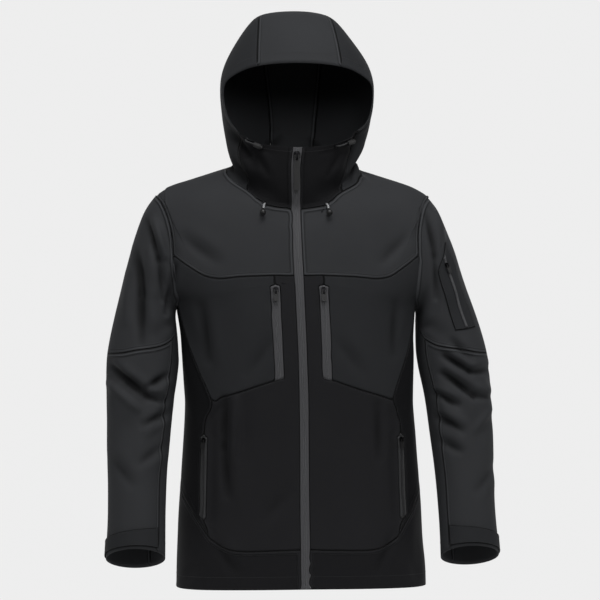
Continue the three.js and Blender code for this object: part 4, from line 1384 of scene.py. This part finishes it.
class JACKET_OT_cords(bpy.types.Operator):
    """Makes the drawcords, free at the neck and held at the hood's locks"""

    bl_idname = "jacket.cords"
    bl_label = "Drawcords"

    def execute(self, context):
        for side in SIDES:
            points = NECK_CORDS[side]
            name = "drawcord_neck_" + side
            obj = cord_curve(name, points, NECK_CORD_DIAMETER, "drawcord_braid")
            dressed(obj, "neck_cord_" + side)
            name = "drawcord_hood_" + side
            curve = cord_curve(name, HOOD_CORDS[side], HOOD_CORD_DIAMETER, "thread")
            mesh = evaluated_mesh(curve)
            data = curve.data
            bpy.data.objects.remove(curve)
            bpy.data.curves.remove(data)
            short = add_object(name, mesh, "thread")
            dressed(short, "hood_cord_" + side)
        return {"FINISHED"}


class JACKET_OT_hardware(bpy.types.Operator):
    """Finishes the sliders, pull tabs, eyelets, cord locks and cord ends of the frame"""

    bl_idname = "jacket.hardware"
    bl_label = "Hardware"

    def execute(self, context):
        finishes = (
            (METAL_NODES, "coated_zinc"),
            (MOULDED_NODES, "moulded_plastic"),
        )
        for nodes, finish in finishes:
            for node in nodes:
                data = frame["nodes"][node].data
                data.materials.clear()
                data.materials.append(material_named(finish))
        return {"FINISHED"}


STAGE_WIDTH_M = 12.0
FLOOR_M = -0.92
FLOOR_FRONT_M = -0.45
WALL_M = 4.6
SWEEP_M = 1.2
SWEEP_STEPS = 12
WALL_TOP_M = 4.0
LIT_PLACE = (0, 0, -0.25)
SENSOR_WIDTH = 36
LIGHTS = rows(
    "name place size watts",
    [
        ("top_softbox", (0.1, -1.5, 2.4), 1.8, 62),
        ("front_softbox", (0.5, -3.4, 1.3), 1.6, 34),
        ("side_softbox_left", (-2.4, -1.9, 0.9), 1.4, 14),
        ("side_softbox_right", (2.6, -1.7, 0.8), 1.4, 14),
    ],
)
AMBIENT = 0.14


class JACKET_OT_stage(bpy.types.Operator):
    """Sets the camera, the lights and the seamless paper"""

    bl_idname = "jacket.stage"
    bl_label = "Stage"

    def execute(self, context):
        scene = context.scene
        stage = scene.jacket_stage
        profile = [(FLOOR_FRONT_M, FLOOR_M)]
        for k in range(SWEEP_STEPS + 1):
            turn = math.radians(90 * k / SWEEP_STEPS)
            profile.append(
                (
                    WALL_M - SWEEP_M + SWEEP_M * math.sin(turn),
                    FLOOR_M + SWEEP_M - SWEEP_M * math.cos(turn),
                )
            )
        profile.append((WALL_M, WALL_TOP_M))
        half = STAGE_WIDTH_M / 2
        points = [(x, y, z) for y, z in profile for x in (-half, half)]
        faces = [(2 * k, 2 * k + 1, 2 * k + 3, 2 * k + 2) for k in range(len(profile) - 1)]
        mesh = bpy.data.meshes.new("paper_sweep")
        mesh.from_pydata(points, [], faces)
        sweep = add_object("paper_sweep", mesh, "seamless_paper")

        target = Vector(LIT_PLACE)
        for light in LIGHTS:
            data = bpy.data.lights.new(light.name, "AREA")
            data.shape = "DISK"
            data.size = light.size
            data.energy = light.watts
            lamp = bpy.data.objects.new(light.name, data)
            scene.collection.objects.link(lamp)
            lamp.location = light.place
            lamp.rotation_euler = (target - lamp.location).to_track_quat("-Z", "Y").to_euler()

        world = bpy.data.worlds.new("studio")
        world.use_nodes = True
        world.node_tree.nodes["Background"].inputs[0].default_value = srgb(SKY_WHITE)
        world.node_tree.nodes["Background"].inputs[1].default_value = AMBIENT
        scene.world = world

        turn = math.radians(stage.azimuth)
        data = bpy.data.cameras.new("camera")
        data.lens = stage.lens
        data.sensor_width = SENSOR_WIDTH
        camera = bpy.data.objects.new("camera", data)
        scene.collection.objects.link(camera)
        aim = Vector((0, 0, stage.height))
        camera.location = aim + stage.distance * Vector((math.sin(turn), -math.cos(turn), 0))
        camera.rotation_euler = (aim - camera.location).to_track_quat("-Z", "Y").to_euler()
        scene.camera = camera
        scene.view_settings.view_transform = "Standard"
        return {"FINISHED"}


class JACKET_PT_panel(bpy.types.Panel):
    """Lists the steps that build the jacket"""

    bl_label = "Jacket"
    bl_idname = "JACKET_PT_panel"
    bl_space_type = "VIEW_3D"
    bl_region_type = "UI"
    bl_category = "Jacket"

    def draw(self, context):
        for settings in ("jacket_cloth", "jacket_sewing", "jacket_stage"):
            group = getattr(context.scene, settings)
            box = self.layout.box()
            for name in group.__annotations__:
                box.prop(group, name)
        for operator in OPERATORS:
            self.layout.operator(operator.bl_idname)


OPERATORS = (
    JACKET_OT_panels,
    JACKET_OT_patches,
    JACKET_OT_zips,
    JACKET_OT_stitching,
    JACKET_OT_cords,
    JACKET_OT_hardware,
    JACKET_OT_stage,
)
CLASSES = (ClothSettings, SewingSettings, StageSettings, *OPERATORS, JACKET_PT_panel)


def register():
    """Makes the settings, operators and panel known to Blender."""
    for cls in CLASSES:
        bpy.utils.register_class(cls)
    bpy.types.Scene.jacket_cloth = PointerProperty(type=ClothSettings)
    bpy.types.Scene.jacket_sewing = PointerProperty(type=SewingSettings)
    bpy.types.Scene.jacket_stage = PointerProperty(type=StageSettings)


def unregister():
    """Takes them out again."""
    del bpy.types.Scene.jacket_stage
    del bpy.types.Scene.jacket_sewing
    del bpy.types.Scene.jacket_cloth
    for cls in reversed(CLASSES):
        bpy.utils.unregister_class(cls)


def main():
    """Builds the whole scene."""
    register()
    bpy.ops.jacket.panels()
    bpy.ops.jacket.patches()
    bpy.ops.jacket.zips()
    bpy.ops.jacket.stitching()
    bpy.ops.jacket.cords()
    bpy.ops.jacket.hardware()
    bpy.ops.jacket.stage()
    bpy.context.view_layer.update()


if __name__ == "__main__":
    main()
